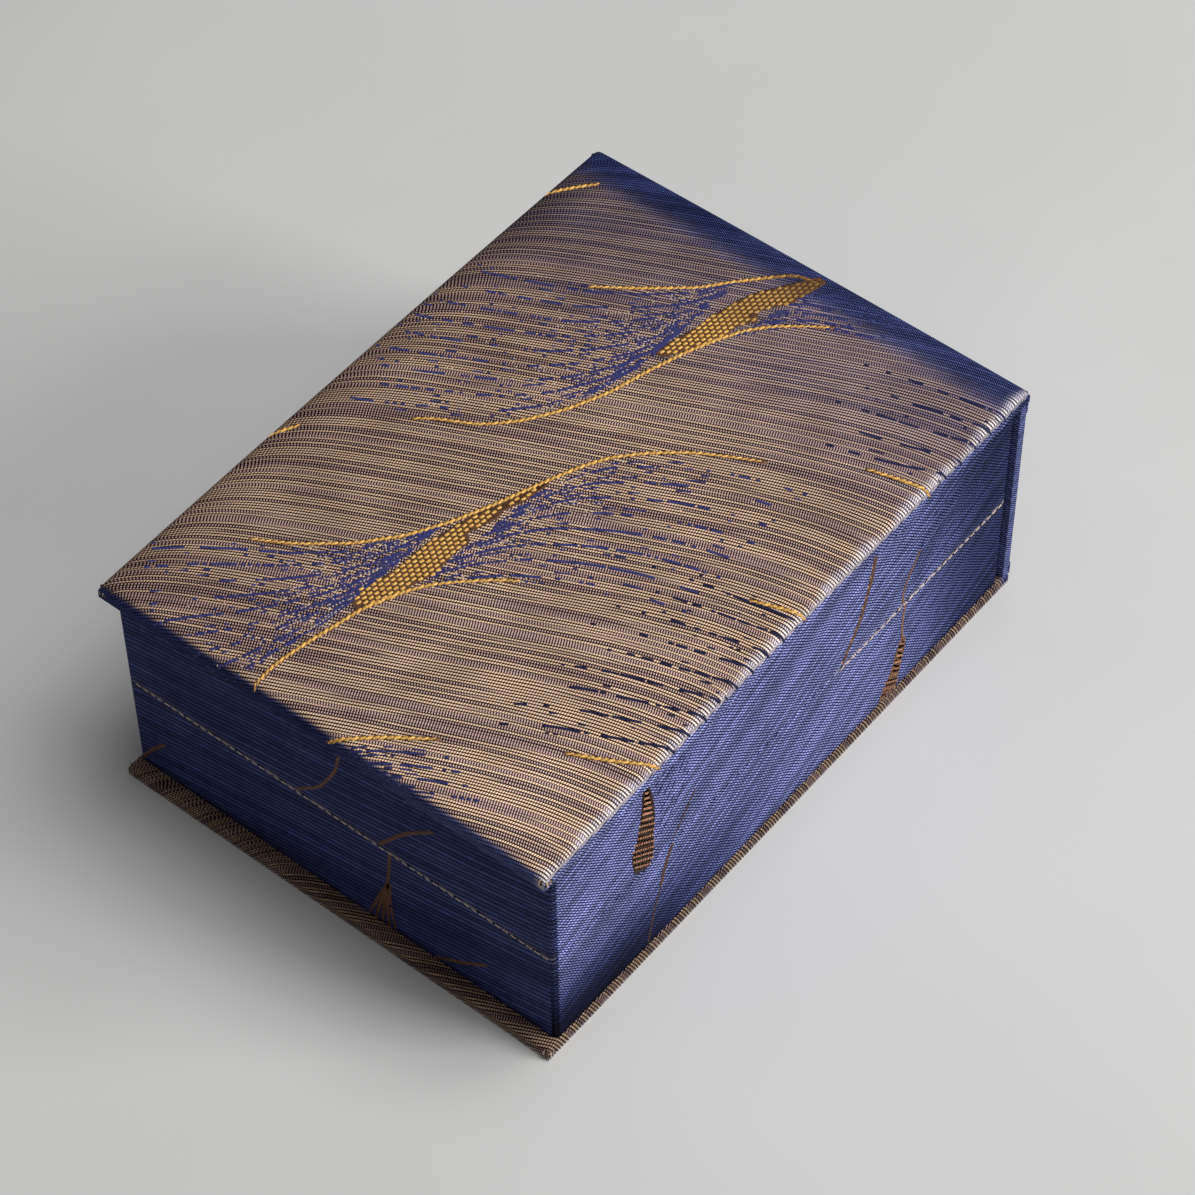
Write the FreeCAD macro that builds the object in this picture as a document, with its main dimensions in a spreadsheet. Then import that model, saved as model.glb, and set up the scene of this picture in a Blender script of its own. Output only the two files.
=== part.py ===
import FreeCAD, Part
import os

# A brocade gift box built like a hardback book: a padded cover, a spine and a base, joined by cloth folds.
# Two open shells, glued under the cover and on the base, meet at half height when the box is shut.
# +Z is up, +X points to the spine, -X to the opening edge. The origin is under the middle of the base.

doc = FreeCAD.newDocument("brocade_box")

# Each driving size in millimetres, with what it measures
SIZES = {
    "case_length": (135.0, "opening edge to the outside of the spine"),
    "case_width": (97.4, "base, across its cloth"),
    "cover_lap": (0.3, "cover past the base at each side"),
    "spine_lap": (0.1, "spine past the base at each side"),
    "cloth_gauge": (0.35, "brocade with its glue"),
    "satin_gauge": (0.25, "lining satin with its glue"),
    "base_board_gauge": (1.9, "greyboard of the base"),
    "cover_board_gauge": (1.3, "greyboard of the cover"),
    "spine_board_gauge": (1.6, "greyboard of the spine"),
    "wall_gauge": (2.4, "greyboard of the shell walls"),
    "tray_height": (23.3, "lower shell, base to rim"),
    "lid_depth": (24.1, "upper shell, rim to cover"),
    "front_ledge": (2.8, "base past the shells at the opening edge"),
    "side_ledge": (0.5, "base past the shells at each side"),
    "spine_gap": (0.4, "spine lining to the back of the shells"),
    "cover_foam": (2.3, "padding of the cover at its middle"),
    "cover_crown": (1.0, "fall of the cover from middle to corner"),
    "cover_round": (1.7, "radius of the padded edge"),
    "cloth_turn_in": (12.0, "brocade folded under a board"),
    "rim_turn_in": (8.0, "brocade folded over a rim and down inside"),
    "fold_height": (3.0, "free cloth at each fold"),
    "fold_clear": (0.35, "end of the spine board to the next panel"),
    "lining_gauge": (1.0, "satin-covered card that lines the walls"),
    "lining_drop": (1.5, "top of the lining below the rim"),
    "lining_clear": (0.1, "lining to the rim cloth"),
    "pad_clear": (0.3, "cushion or lid pad to the lining"),
    "pad_card": (1.0, "card under the cushion and the lid pad"),
    "cushion_foam_gauge": (4.5, "cushion foam at its middle"),
    "cushion_crown": (1.0, "fall of the cushion from middle to corner"),
    "cushion_round": (2.5, "radius of the cushion edge"),
    "lid_foam_gauge": (3.0, "lid pad foam at its middle"),
    "lid_pad_crown": (1.0, "fall of the lid pad from middle to corner"),
    "lid_pad_round": (2.0, "radius of the lid pad edge"),
    "satin_turn_in": (10.0, "satin folded under a card"),
    "magnet_length": (14.0, "magnet and keeper bars along the rim"),
    "magnet_gauge": (1.2, "magnet and keeper bars across the wall"),
    "magnet_depth": (4.0, "magnet and keeper bars down from the rim"),
    "magnet_spacing": (56.0, "centre to centre of the two bars"),
    "magnet_clear": (0.1, "bar to its slot"),
}

sheet = doc.addObject("Spreadsheet::Sheet", "Sizes")
for row, (alias, (value, meaning)) in enumerate(SIZES.items(), start=1):
    sheet.set(f"A{row}", alias)
    sheet.set(f"B{row}", str(value))
    sheet.set(f"C{row}", meaning)
    sheet.setAlias(f"B{row}", alias)
doc.recompute()

# Sizes that many pieces share, as expressions on the sheet
CLOTH = "Sizes.cloth_gauge"
SATIN = "Sizes.satin_gauge"
WALL = "Sizes.wall_gauge"
CASE_WIDTH = "Sizes.case_width"
OVERCUT = "1"

# Levels: top of the base, rim where the shells meet, underside of the cover
FLOOR = "0"
BASE_TOP = f"(Sizes.base_board_gauge + 2 * {CLOTH})"
RIM = f"({BASE_TOP} + Sizes.tray_height)"
COVER_SEAT = f"({RIM} + Sizes.lid_depth)"
SPINE_FOOT = f"({BASE_TOP} + Sizes.fold_clear)"
SPINE_HEAD = f"({COVER_SEAT} - Sizes.fold_clear)"

# Planes along the case, from the opening edge to the spine
CASE_FRONT = "(-Sizes.case_length / 2)"
CASE_BACK = "(Sizes.case_length / 2)"
SPINE_INSIDE = f"({CASE_BACK} - Sizes.spine_board_gauge - 2 * {CLOTH})"
SHELL_FRONT = f"({CASE_FRONT} + Sizes.front_ledge)"
SHELL_BACK = f"({SPINE_INSIDE} - {SATIN} - Sizes.spine_gap)"


def plan_of(front, back, width):
    """A footprint (x low, x high, y low, y high) centred on the box's length."""
    return (front, back, f"(-{width} / 2)", f"({width} / 2)")


def shrink(plan, amount):
    """A footprint moved inwards by the same amount on all four sides."""
    x_low, x_high, y_low, y_high = plan
    return (f"({x_low} + {amount})", f"({x_high} - {amount})", f"({y_low} + {amount})", f"({y_high} - {amount})")


def span(level, near, far, up):
    """Low and high ends of a layer from near to far past a level: upwards where up is 1, downwards where -1."""
    ends = [f"({level} + {up} * ({near}))", f"({level} + {up} * ({far}))"]
    return ends if up > 0 else ends[::-1]


def block(name, plan, levels):
    """A box over a footprint, between two levels."""
    x_low, x_high, y_low, y_high = plan
    z_low, z_high = levels
    box = doc.addObject("Part::Box", name)
    box.Label = name
    box.setExpression("Length", f"{x_high} - {x_low}")
    box.setExpression("Width", f"{y_high} - {y_low}")
    box.setExpression("Height", f"{z_high} - {z_low}")
    box.setExpression("Placement.Base.x", x_low)
    box.setExpression("Placement.Base.y", y_low)
    box.setExpression("Placement.Base.z", z_low)
    return box


def cut(name, base, *tools):
    """A solid with one or more others taken out of it."""
    result = base
    for number, tool in enumerate(tools, start=1):
        last = number == len(tools)
        step = doc.addObject("Part::Cut", name if last else f"{name}_step_{number}")
        step.Base = result
        step.Tool = tool
        result = step
    result.Label = name
    return result


def join(name, *shapes):
    """Solids made one, or kept together as a group where they stand apart."""
    fused = doc.addObject("Part::MultiFuse", name)
    fused.Shapes = list(shapes)
    fused.Label = name
    return fused


def crowned(name, plan, seat, near, far, up, crown_radius, offset, edge_radius):
    """A block with a domed top, part of a large sphere, and a rounded edge all round the dome."""
    x_low, x_high, y_low, y_high = plan
    body = block(f"{name}_block", plan, span(seat, near, far, up))
    dome = doc.addObject("Part::Sphere", f"{name}_dome")
    dome.Placement.Rotation = FreeCAD.Rotation(FreeCAD.Vector(1, 0, 0), 90)
    dome.setExpression("Radius", f"{crown_radius} - {offset}")
    dome.setExpression("Placement.Base.x", f"({x_low} + {x_high}) / 2")
    dome.setExpression("Placement.Base.y", f"({y_low} + {y_high}) / 2")
    dome.setExpression("Placement.Base.z", f"{seat} + {up} * ({far} - ({crown_radius} - {offset}))")
    domed = doc.addObject("Part::MultiCommon", f"{name}_domed")
    domed.Shapes = [body, dome]
    doc.recompute()
    top = next(face for face in domed.Shape.Faces if isinstance(face.Surface, Part.Sphere))
    rim = [
        index
        for index, edge in enumerate(domed.Shape.Edges, start=1)
        if any(edge.isSame(other) for other in top.Edges)
    ]
    rounded = doc.addObject("Part::Fillet", name)
    rounded.Base = domed
    rounded.Edges = [(index, edge_radius, edge_radius) for index in rim]
    rounded.Label = name
    return rounded


def padded_panel(names, plan, seat, up, skin, card, foam, crown, edge_round, turn_in):
    """A board with crowned foam on it, wrapped in cloth that turns in behind the board.

    The panel lies against its seat, with the dome on the far side. The cloth is a shell of even thickness,
    with a window behind the board where its turned-in edges stop.
    """
    board_name, foam_name, skin_name = names
    x_low, x_high, y_low, y_high = plan
    skin_size = sheet.get(skin.split(".")[1])
    crown_size = sheet.get(crown.split(".")[1])
    foam_at_corner = sheet.get(foam.split(".")[1]) - crown_size
    round_size = min(sheet.get(edge_round.split(".")[1]) - skin_size, 0.97 * foam_at_corner)
    diagonal = f"((({x_high} - {x_low}) / 2) ^ 2 + (({y_high} - {y_low}) / 2) ^ 2)"
    crown_radius = f"(({diagonal} + {crown} ^ 2) / (2 * {crown}))"
    depth = f"({card} + {foam} + 2 * {skin})"
    core_plan = shrink(plan, skin)
    core_far = f"({depth} - {skin})"
    envelope = crowned(
        f"{skin_name}_envelope", plan, seat, "0", depth, up, crown_radius, "0", round_size + skin_size
    )
    core = crowned(f"{skin_name}_core", core_plan, seat, skin, core_far, up, crown_radius, skin, round_size)
    board = block(board_name, core_plan, span(seat, skin, f"{skin} + {card}", up))
    padding = cut(foam_name, core, board)
    window = block(f"{skin_name}_window", shrink(plan, turn_in), span(seat, f"-{OVERCUT}", f"{skin} * 1.5", up))
    wrap = cut(skin_name, envelope, core, window)
    return [board, padding, wrap]


# The base: a plain board wrapped in brocade, which turns in on the upper face under the lower shell
BASE_PLAN = plan_of(CASE_FRONT, CASE_BACK, CASE_WIDTH)
base_board = block("base_board", shrink(BASE_PLAN, CLOTH), span(FLOOR, CLOTH, f"{BASE_TOP} - {CLOTH}", 1))
base_cover_cloth = cut(
    "base_cover_cloth",
    block("base_cloth_blank", BASE_PLAN, (FLOOR, BASE_TOP)),
    base_board,
    block(
        "base_cloth_window",
        shrink(BASE_PLAN, "Sizes.cloth_turn_in"),
        span(BASE_TOP, f"-{CLOTH} * 1.5", OVERCUT, 1),
    ),
)
nodes = [base_board, base_cover_cloth]

# The two shells: four board walls, one strip of brocade round them and over the rim, and a lining inside
SHELL_PLAN = plan_of(SHELL_FRONT, SHELL_BACK, f"({CASE_WIDTH} - 2 * Sizes.side_ledge)")
BOARD_PLAN = shrink(SHELL_PLAN, CLOTH)
HOLLOW_PLAN = shrink(BOARD_PLAN, WALL)
RIM_CLOTH_PLAN = shrink(HOLLOW_PLAN, CLOTH)
LINING_PLAN = shrink(RIM_CLOTH_PLAN, "Sizes.lining_clear")
LINED_PLAN = shrink(LINING_PLAN, "Sizes.lining_gauge")
PAD_PLAN = shrink(LINED_PLAN, "Sizes.pad_clear")


def rim_bars(name, rim, up, clear):
    """Two bars let into the front wall's rim, one towards each side, or the slots that hold them."""
    x_middle = f"(({BOARD_PLAN[0]} + {HOLLOW_PLAN[0]}) / 2)"
    half_gauge = f"(Sizes.magnet_gauge / 2 + {clear})"
    half_length = f"(Sizes.magnet_length / 2 + {clear})"
    levels = span(rim, f"{CLOTH}", f"{CLOTH} + Sizes.magnet_depth + {clear}", -up)
    bars = []
    for side, sign in (("left", "+"), ("right", "-")):
        y_middle = f"({sign}Sizes.magnet_spacing / 2)"
        plan = (
            f"({x_middle} - {half_gauge})",
            f"({x_middle} + {half_gauge})",
            f"({y_middle} - {half_length})",
            f"({y_middle} + {half_length})",
        )
        bars.append(block(f"{name}_{side}", plan, levels))
    return join(name, *bars)


def shell(prefix, seat, height, up, bars_name):
    """An open shell that stands on its seat: walls, brocade strip, lining, and bars hidden in the front rim."""
    x_low, x_high, y_low, y_high = BOARD_PLAN
    x_in_low, x_in_high, y_in_low, y_in_high = HOLLOW_PLAN
    rim = f"({seat} + {up} * {height})"
    wall_levels = span(seat, "0", f"{height} - {CLOTH}", up)
    slots = rim_bars(f"{prefix}_slots", rim, up, "Sizes.magnet_clear")
    front_blank = block(f"{prefix}_front_blank", (x_low, x_in_low, y_low, y_high), wall_levels)
    walls = [
        cut(f"{prefix}_front_wall", front_blank, slots),
        block(f"{prefix}_back_wall", (x_in_high, x_high, y_low, y_high), wall_levels),
        block(f"{prefix}_left_wall", (x_in_low, x_in_high, y_in_high, y_high), wall_levels),
        block(f"{prefix}_right_wall", (x_in_low, x_in_high, y_low, y_in_low), wall_levels),
    ]
    bars = rim_bars(bars_name, rim, up, "0")

    outside = cut(
        f"{prefix}_cloth_outside",
        block(f"{prefix}_cloth_blank", SHELL_PLAN, span(seat, "0", height, up)),
        block(f"{prefix}_cloth_room", BOARD_PLAN, span(seat, f"-{OVERCUT}", f"{height} - {CLOTH}", up)),
    )
    inside = block(f"{prefix}_cloth_inside", HOLLOW_PLAN, span(rim, "0", "Sizes.rim_turn_in", -up))
    mouth = block(f"{prefix}_cloth_mouth", RIM_CLOTH_PLAN, span(seat, f"-{OVERCUT}", f"{height} + {OVERCUT}", up))
    strip = cut(f"{prefix}_wall_cloth", join(f"{prefix}_cloth_folded", outside, inside), mouth)

    lining_top = f"{height} - Sizes.lining_drop"
    lining = cut(
        f"{prefix}_lining",
        block(f"{prefix}_lining_blank", LINING_PLAN, span(seat, "0", lining_top, up)),
        block(f"{prefix}_lining_room", LINED_PLAN, span(seat, f"-{OVERCUT}", f"{height} + {OVERCUT}", up)),
    )
    return walls + [bars, strip, lining]


nodes += shell("tray", BASE_TOP, "Sizes.tray_height", 1, "rim_magnets")
nodes += padded_panel(
    ("cushion_card", "cushion_foam", "cushion_satin"), PAD_PLAN, BASE_TOP, 1, SATIN, "Sizes.pad_card",
    "Sizes.cushion_foam_gauge", "Sizes.cushion_crown", "Sizes.cushion_round", "Sizes.satin_turn_in",
)

# The spine: a narrow board whose brocade wraps its outside and both ends, with a paper-thin lining inside
SPINE_PLAN = plan_of(SPINE_INSIDE, CASE_BACK, f"({CASE_WIDTH} + 2 * Sizes.spine_lap)")
SPINE_BOARD_PLAN = shrink(SPINE_PLAN, CLOTH)
SPINE_LEVELS = (SPINE_FOOT, SPINE_HEAD)
FOLD_PLAN = (f"({CASE_BACK} - {CLOTH})", CASE_BACK, SPINE_PLAN[2], SPINE_PLAN[3])
LOWER_FOLD_TOP = f"({BASE_TOP} + Sizes.fold_height)"
UPPER_FOLD_FOOT = f"({COVER_SEAT} - Sizes.fold_height)"
spine_board = block("spine_board", SPINE_BOARD_PLAN, SPINE_LEVELS)
lower_hinge_cloth = block("lower_hinge_cloth", FOLD_PLAN, (BASE_TOP, LOWER_FOLD_TOP))
upper_hinge_cloth = block("upper_hinge_cloth", FOLD_PLAN, (UPPER_FOLD_FOOT, COVER_SEAT))
spine_window = block(
    "spine_cloth_window",
    (
        f"({SPINE_INSIDE} - {OVERCUT})",
        f"({SPINE_INSIDE} + {CLOTH} * 1.5)",
        f"({SPINE_PLAN[2]} + Sizes.cloth_turn_in)",
        f"({SPINE_PLAN[3]} - Sizes.cloth_turn_in)",
    ),
    (f"({SPINE_FOOT} - {OVERCUT})", f"({SPINE_HEAD} + {OVERCUT})"),
)
spine_cover_cloth = cut(
    "spine_cover_cloth",
    block("spine_cloth_blank", SPINE_PLAN, SPINE_LEVELS),
    spine_board,
    lower_hinge_cloth,
    upper_hinge_cloth,
    spine_window,
)
spine_lining = block(
    "spine_lining",
    (
        f"({SPINE_INSIDE} - {SATIN})",
        SPINE_INSIDE,
        f"({SPINE_PLAN[2]} + Sizes.side_ledge + {CLOTH})",
        f"({SPINE_PLAN[3]} - Sizes.side_ledge - {CLOTH})",
    ),
    SPINE_LEVELS,
)
nodes += [lower_hinge_cloth, spine_board, spine_cover_cloth, spine_lining, upper_hinge_cloth]

# The lid: the padded cover, with the upper shell and its pad hanging under it
COVER_PLAN = plan_of(CASE_FRONT, CASE_BACK, f"({CASE_WIDTH} + 2 * Sizes.cover_lap)")
nodes += padded_panel(
    ("cover_board", "cover_foam", "cover_cloth"), COVER_PLAN, COVER_SEAT, 1, CLOTH, "Sizes.cover_board_gauge",
    "Sizes.cover_foam", "Sizes.cover_crown", "Sizes.cover_round", "Sizes.cloth_turn_in",
)
nodes += shell("lid", COVER_SEAT, "Sizes.lid_depth", -1, "rim_keepers")
nodes += padded_panel(
    ("lid_pad_card", "lid_pad_foam", "lid_pad_satin"), PAD_PLAN, COVER_SEAT, -1, SATIN, "Sizes.pad_card",
    "Sizes.lid_foam_gauge", "Sizes.lid_pad_crown", "Sizes.lid_pad_round", "Sizes.satin_turn_in",
)

# Every feature has to be sound before anything is written
doc.recompute()
for feature in doc.Objects:
    if "Invalid" in feature.State or "Error" in feature.State:
        raise RuntimeError(f"{feature.Label} did not build: {feature.State}")
for node in nodes:
    if node.Shape.isNull() or not node.Shape.isValid() or not node.Shape.Solids:
        raise RuntimeError(f"{node.Label} has no sound solid")

os.makedirs("parts", exist_ok=True)
for node in nodes:
    node.Shape.exportStep(f"parts/{node.Label}.step")
    box = node.Shape.optimalBoundingBox()
    print(
        f"{node.Label}: {len(node.Shape.Solids)} solid(s), {node.Shape.Volume:.1f} mm3, "
        f"x {box.XMin:.2f} to {box.XMax:.2f}, y {box.YMin:.2f} to {box.YMax:.2f}, z {box.ZMin:.2f} to {box.ZMax:.2f}"
    )
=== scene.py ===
import math

import bmesh
import bpy
import numpy as np
from mathutils import Matrix


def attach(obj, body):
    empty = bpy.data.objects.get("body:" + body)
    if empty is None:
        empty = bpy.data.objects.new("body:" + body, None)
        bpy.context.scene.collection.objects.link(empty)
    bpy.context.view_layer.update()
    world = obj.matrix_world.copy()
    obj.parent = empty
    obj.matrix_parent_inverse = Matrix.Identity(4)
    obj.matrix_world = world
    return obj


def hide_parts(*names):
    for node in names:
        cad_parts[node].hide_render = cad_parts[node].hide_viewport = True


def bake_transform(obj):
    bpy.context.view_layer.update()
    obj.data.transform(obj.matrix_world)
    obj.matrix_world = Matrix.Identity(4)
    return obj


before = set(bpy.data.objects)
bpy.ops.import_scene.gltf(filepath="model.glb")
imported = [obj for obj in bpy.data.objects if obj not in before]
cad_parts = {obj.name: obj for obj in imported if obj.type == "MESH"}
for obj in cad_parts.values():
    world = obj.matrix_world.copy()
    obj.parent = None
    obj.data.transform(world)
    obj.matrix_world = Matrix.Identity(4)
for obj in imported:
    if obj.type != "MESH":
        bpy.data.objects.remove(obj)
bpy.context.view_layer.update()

# The base is a flat greyboard panel wrapped in brocade, which is glued over its edges and turned in on top,
# under the lower shell. Only a narrow ledge of it shows, widest along the opening edge. Shapes are worked out
# in millimetres.
MM = 0.001


def grid_quads(rows, columns, closed=False):
    """Quads between neighbours of a rows x columns grid of points; closed joins the last row to the first."""
    index = np.arange(rows * columns).reshape(rows, columns)
    if closed:
        index = np.vstack([index, index[:1]])
    corners = [index[:-1, :-1], index[1:, :-1], index[1:, 1:], index[:-1, 1:]]
    return np.stack(corners, -1).reshape(-1, 4)


def make_piece(name, points, quads, weave, material, tone=(0.0, 0.0, 1.0)):
    """A mesh from points in millimetres: seams merged, faces outwards, the weave as its UV map.

    Tone is kept as an attribute: how much painted gold reflection of the gold weft shows, how much painted
    pale sheen lies on the cloth, and painted light and shade, a factor on the colour.
    """
    corners = quads.ravel()
    weave = np.asarray(weave, float)
    tone = np.broadcast_to(np.asarray(tone, float), (len(points), 3))
    mesh = bpy.data.meshes.new(name)
    mesh.vertices.add(len(points))
    mesh.vertices.foreach_set("co", (np.asarray(points, float) * MM).ravel())
    mesh.loops.add(corners.size)
    mesh.loops.foreach_set("vertex_index", corners)
    mesh.polygons.add(len(quads))
    mesh.polygons.foreach_set("loop_start", np.arange(0, corners.size, 4))
    mesh.update(calc_edges=True)
    mesh.uv_layers.new(name="weave").data.foreach_set("uv", weave[corners].ravel())
    mesh.attributes.new("tone", "FLOAT_VECTOR", "CORNER").data.foreach_set("vector", tone[corners].ravel())
    shape = bmesh.new()
    shape.from_mesh(mesh)
    bmesh.ops.remove_doubles(shape, verts=shape.verts, dist=2e-6)
    bmesh.ops.dissolve_degenerate(shape, edges=shape.edges, dist=1e-7)
    bmesh.ops.delete(shape, geom=[v for v in shape.verts if not v.link_faces], context="VERTS")
    bmesh.ops.recalc_face_normals(shape, faces=shape.faces)
    shape.to_mesh(mesh)
    shape.free()
    mesh.shade_smooth()
    mesh.materials.append(material)
    piece = bpy.data.objects.new(name, mesh)
    bpy.context.collection.objects.link(piece)
    return piece


def roll_over(cloth, half, roll):
    """Cloth measured from a panel's middle: flat to the edge, a quarter turn of radius roll, then down.

    Gives the place along the panel, the cosine of the turn, and how far the cloth has gone down the side.
    """
    flat = half - roll
    turn = np.clip((np.abs(cloth) - flat) / roll, 0, np.pi / 2)
    down = np.maximum(np.abs(cloth) - flat - roll * np.pi / 2, 0)
    place = np.sign(cloth) * np.minimum(np.abs(cloth), flat) + np.sign(cloth) * roll * np.sin(turn)
    return place, np.cos(turn), down


def panel_top(x, y, cos_x, cos_y, panel):
    """Height of a wrapped panel: a crown that falls with the square of the distance, and a rolled edge."""
    fall = panel["crown"] * (x ** 2 + y ** 2) / (panel["half"][0] ** 2 + panel["half"][1] ** 2)
    return panel["top"] - fall - panel["roll"] * (1 - cos_x * cos_y)


TURN_STEPS, SIDE_STEPS = 7, 6


def wrapped_panel(panel, step):
    """A panel wrapped in cloth: crowned top, rolled edges, upright sides that meet at the corners, flat back.

    The top and sides are one grid over the cloth, less the corner squares that are tucked away; the back is
    the same grid laid flat. Gives the points, the quads and each point's place on the flat cloth.
    """
    lines = []
    for half in panel["half"]:
        roll = panel["roll"]
        flat = np.linspace(0, half - roll, max(int(half / step), 2))[:-1]
        turn = half - roll + roll * np.linspace(0, np.pi / 2, TURN_STEPS)
        side = turn[-1] + np.linspace(0, panel["top"] - panel["foot"] - roll, SIDE_STEPS)[1:]
        cloth = np.concatenate([flat, turn, side])
        share = np.concatenate([np.zeros(len(flat) + len(turn)), np.linspace(0, 1, SIDE_STEPS)[1:]])
        lines.append((np.concatenate([-cloth[:0:-1], cloth]), np.concatenate([share[:0:-1], share])))
    (p, p_share), (q, q_share) = lines
    x, cos_x, _ = roll_over(p, panel["half"][0], panel["roll"])
    y, cos_y, _ = roll_over(q, panel["half"][1], panel["roll"])
    x, cos_x, y, cos_y = x[:, None], cos_x[:, None], y[None, :], cos_y[None, :]
    edge = panel_top(x, y, cos_x, cos_y, panel)
    share = np.maximum(p_share[:, None], q_share[None, :])
    height = edge + (panel["foot"] - edge) * share
    upper = np.stack([x + 0 * y, y + 0 * x, height], -1).reshape(-1, 3)
    lower = np.stack([x + 0 * y, y + 0 * x, np.full(height.shape, panel["foot"])], -1).reshape(-1, 3)
    quads = grid_quads(len(p), len(q))
    p_side = np.maximum(p_share[1:], p_share[:-1])[:, None] > 0
    q_side = np.maximum(q_share[1:], q_share[:-1])[None, :] > 0
    kept = ~(p_side & q_side).reshape(-1)
    back = ~(p_side | q_side).reshape(-1)
    cloth = np.stack(np.broadcast_arrays(p[:, None], q[None, :]), -1).reshape(-1, 2)
    points = np.concatenate([upper, lower])
    quads = np.concatenate([quads[kept], quads[back][:, ::-1] + len(upper)])
    return points, quads, np.concatenate([cloth, cloth])


# How far the gold rows lean per millimetre across the cloth, from the near edge to the far one, and how much
# longer a thread is along a leaning row
LEAN_AT = np.array([-50, -46, -42, -38, -34, -30, -26, -22, -14, 14, 24, 32, 36, 40, 43, 46, 50])
LEAN = np.array([
    0.13, 0.16, 0.22, 0.29, 0.34, 0.37, 0.40, 0.43, 0.45, 0.44, 0.46, 0.49, 0.52, 0.62, 0.73, 1.0, 1.3,
])
ROW_STRETCH = 1.07


def weave_on_panel(cloth):
    """Rows of the weave on a panel: distance across the rows and along them, from the leaning row lines."""
    y = np.linspace(-80, 80, 641)
    drift = np.cumsum(np.interp(y, LEAN_AT, LEAN)) * (y[1] - y[0])
    across = cloth[:, 0] + np.interp(cloth[:, 1], y, drift)
    return np.stack([across, -ROW_STRETCH * cloth[:, 1]], -1)


def add(tree, kind, *sources, **settings):
    """A node with its settings, and its inputs in order: a socket is linked, a value is set, None is left."""
    made = tree.nodes.new(kind)
    for name, value in settings.items():
        setattr(made, name, value)
    for socket, source in zip(made.inputs, sources):
        if isinstance(source, bpy.types.NodeSocket):
            tree.links.new(source, socket)
        elif source is not None:
            socket.default_value = source
    return made


def calc(tree, operation, *sources):
    """The result of a math node."""
    return add(tree, "ShaderNodeMath", *sources, operation=operation).outputs[0]


def fade(tree, value, low, high, to_low=0.0, to_high=1.0):
    """A value that goes smoothly from to_low to to_high as its source goes from low to high."""
    ramp = add(tree, "ShaderNodeMapRange", value, low, high, to_low, to_high, interpolation_type="SMOOTHSTEP")
    return ramp.outputs[0]


def tint(tree, factor, first, second, blend="MIX"):
    """Two colours mixed by a factor."""
    mix = add(tree, "ShaderNodeMix", data_type="RGBA", blend_type=blend)
    for socket, source in ((mix.inputs[0], factor), (mix.inputs[6], first), (mix.inputs[7], second)):
        if isinstance(source, bpy.types.NodeSocket):
            tree.links.new(source, socket)
        else:
            socket.default_value = source if isinstance(source, float) else (*source, 1.0)
    return mix.outputs[2]


def new_group(name, inputs, outputs):
    """An empty node group with named inputs and outputs."""
    group = bpy.data.node_groups.new(name, "ShaderNodeTree")
    for side, sockets in (("INPUT", inputs), ("OUTPUT", outputs)):
        for label, kind in sockets.items():
            group.interface.new_socket(name=label, in_out=side, socket_type=f"NodeSocket{kind}")
    return group, group.nodes.new("NodeGroupInput"), group.nodes.new("NodeGroupOutput")


def new_material(name):
    """A new material, its node tree and its shader."""
    material = bpy.data.materials.new(name)
    material.use_nodes = True
    return material, material.node_tree, material.node_tree.nodes["Principled BSDF"]


def relief(tree, shader, height, strength, distance):
    """A height over the surface, felt by the shader as a bump."""
    bump = add(tree, "ShaderNodeBump", strength, distance)
    tree.links.new(height, bump.inputs["Height"])
    tree.links.new(bump.outputs[0], shader.inputs["Normal"])


# Millimetres from row to row, from crossing to crossing along a row, and along one float of blue silk
BROCADE_ROW, BROCADE_THREAD, BROCADE_FLOAT = 0.68, 0.47, 1.1
# How far crossings move along from one row to the next: the dots, the twill, and the rungs on the blue ribs
DOT_STEP, TWILL_STEP, RUNG_STEP = 0.35, 0.6, 1.6
ROW_WANDER, GROUP_SPREAD = 0.6, 0.16
# A twill is a gap and a thread; a row is a furrow, a gap between two dots, and a dot
GOLD_TWILL, GOLD_ROW = (
    ((0.012, 0.003, 0.005), (0.62, 0.42, 0.385)),
    ((0.002, 0.001, 0.001), (0.30, 0.14, 0.08), (1.0, 0.765, 0.57)),
)
# The painted pale sheen on folds has its own twill and rows, in the same order
SHEEN_TWILL, SHEEN_ROW = (
    ((0.22, 0.19, 0.24), (0.84, 0.80, 0.90)),
    ((0.006, 0.005, 0.010), (0.62, 0.55, 0.55), (1.0, 0.95, 0.93)),
)
BLUE_FURROW, BLUE_RUNG = (0.005, 0.009, 0.06), ((0.004, 0.008, 0.055), (0.36, 0.40, 0.82))
# How painted shade deepens the blue: the painted light is raised to these powers for red, green and blue
BLUE_SHADE_POWERS = (1.2, 1.1, 0.85)


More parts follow.
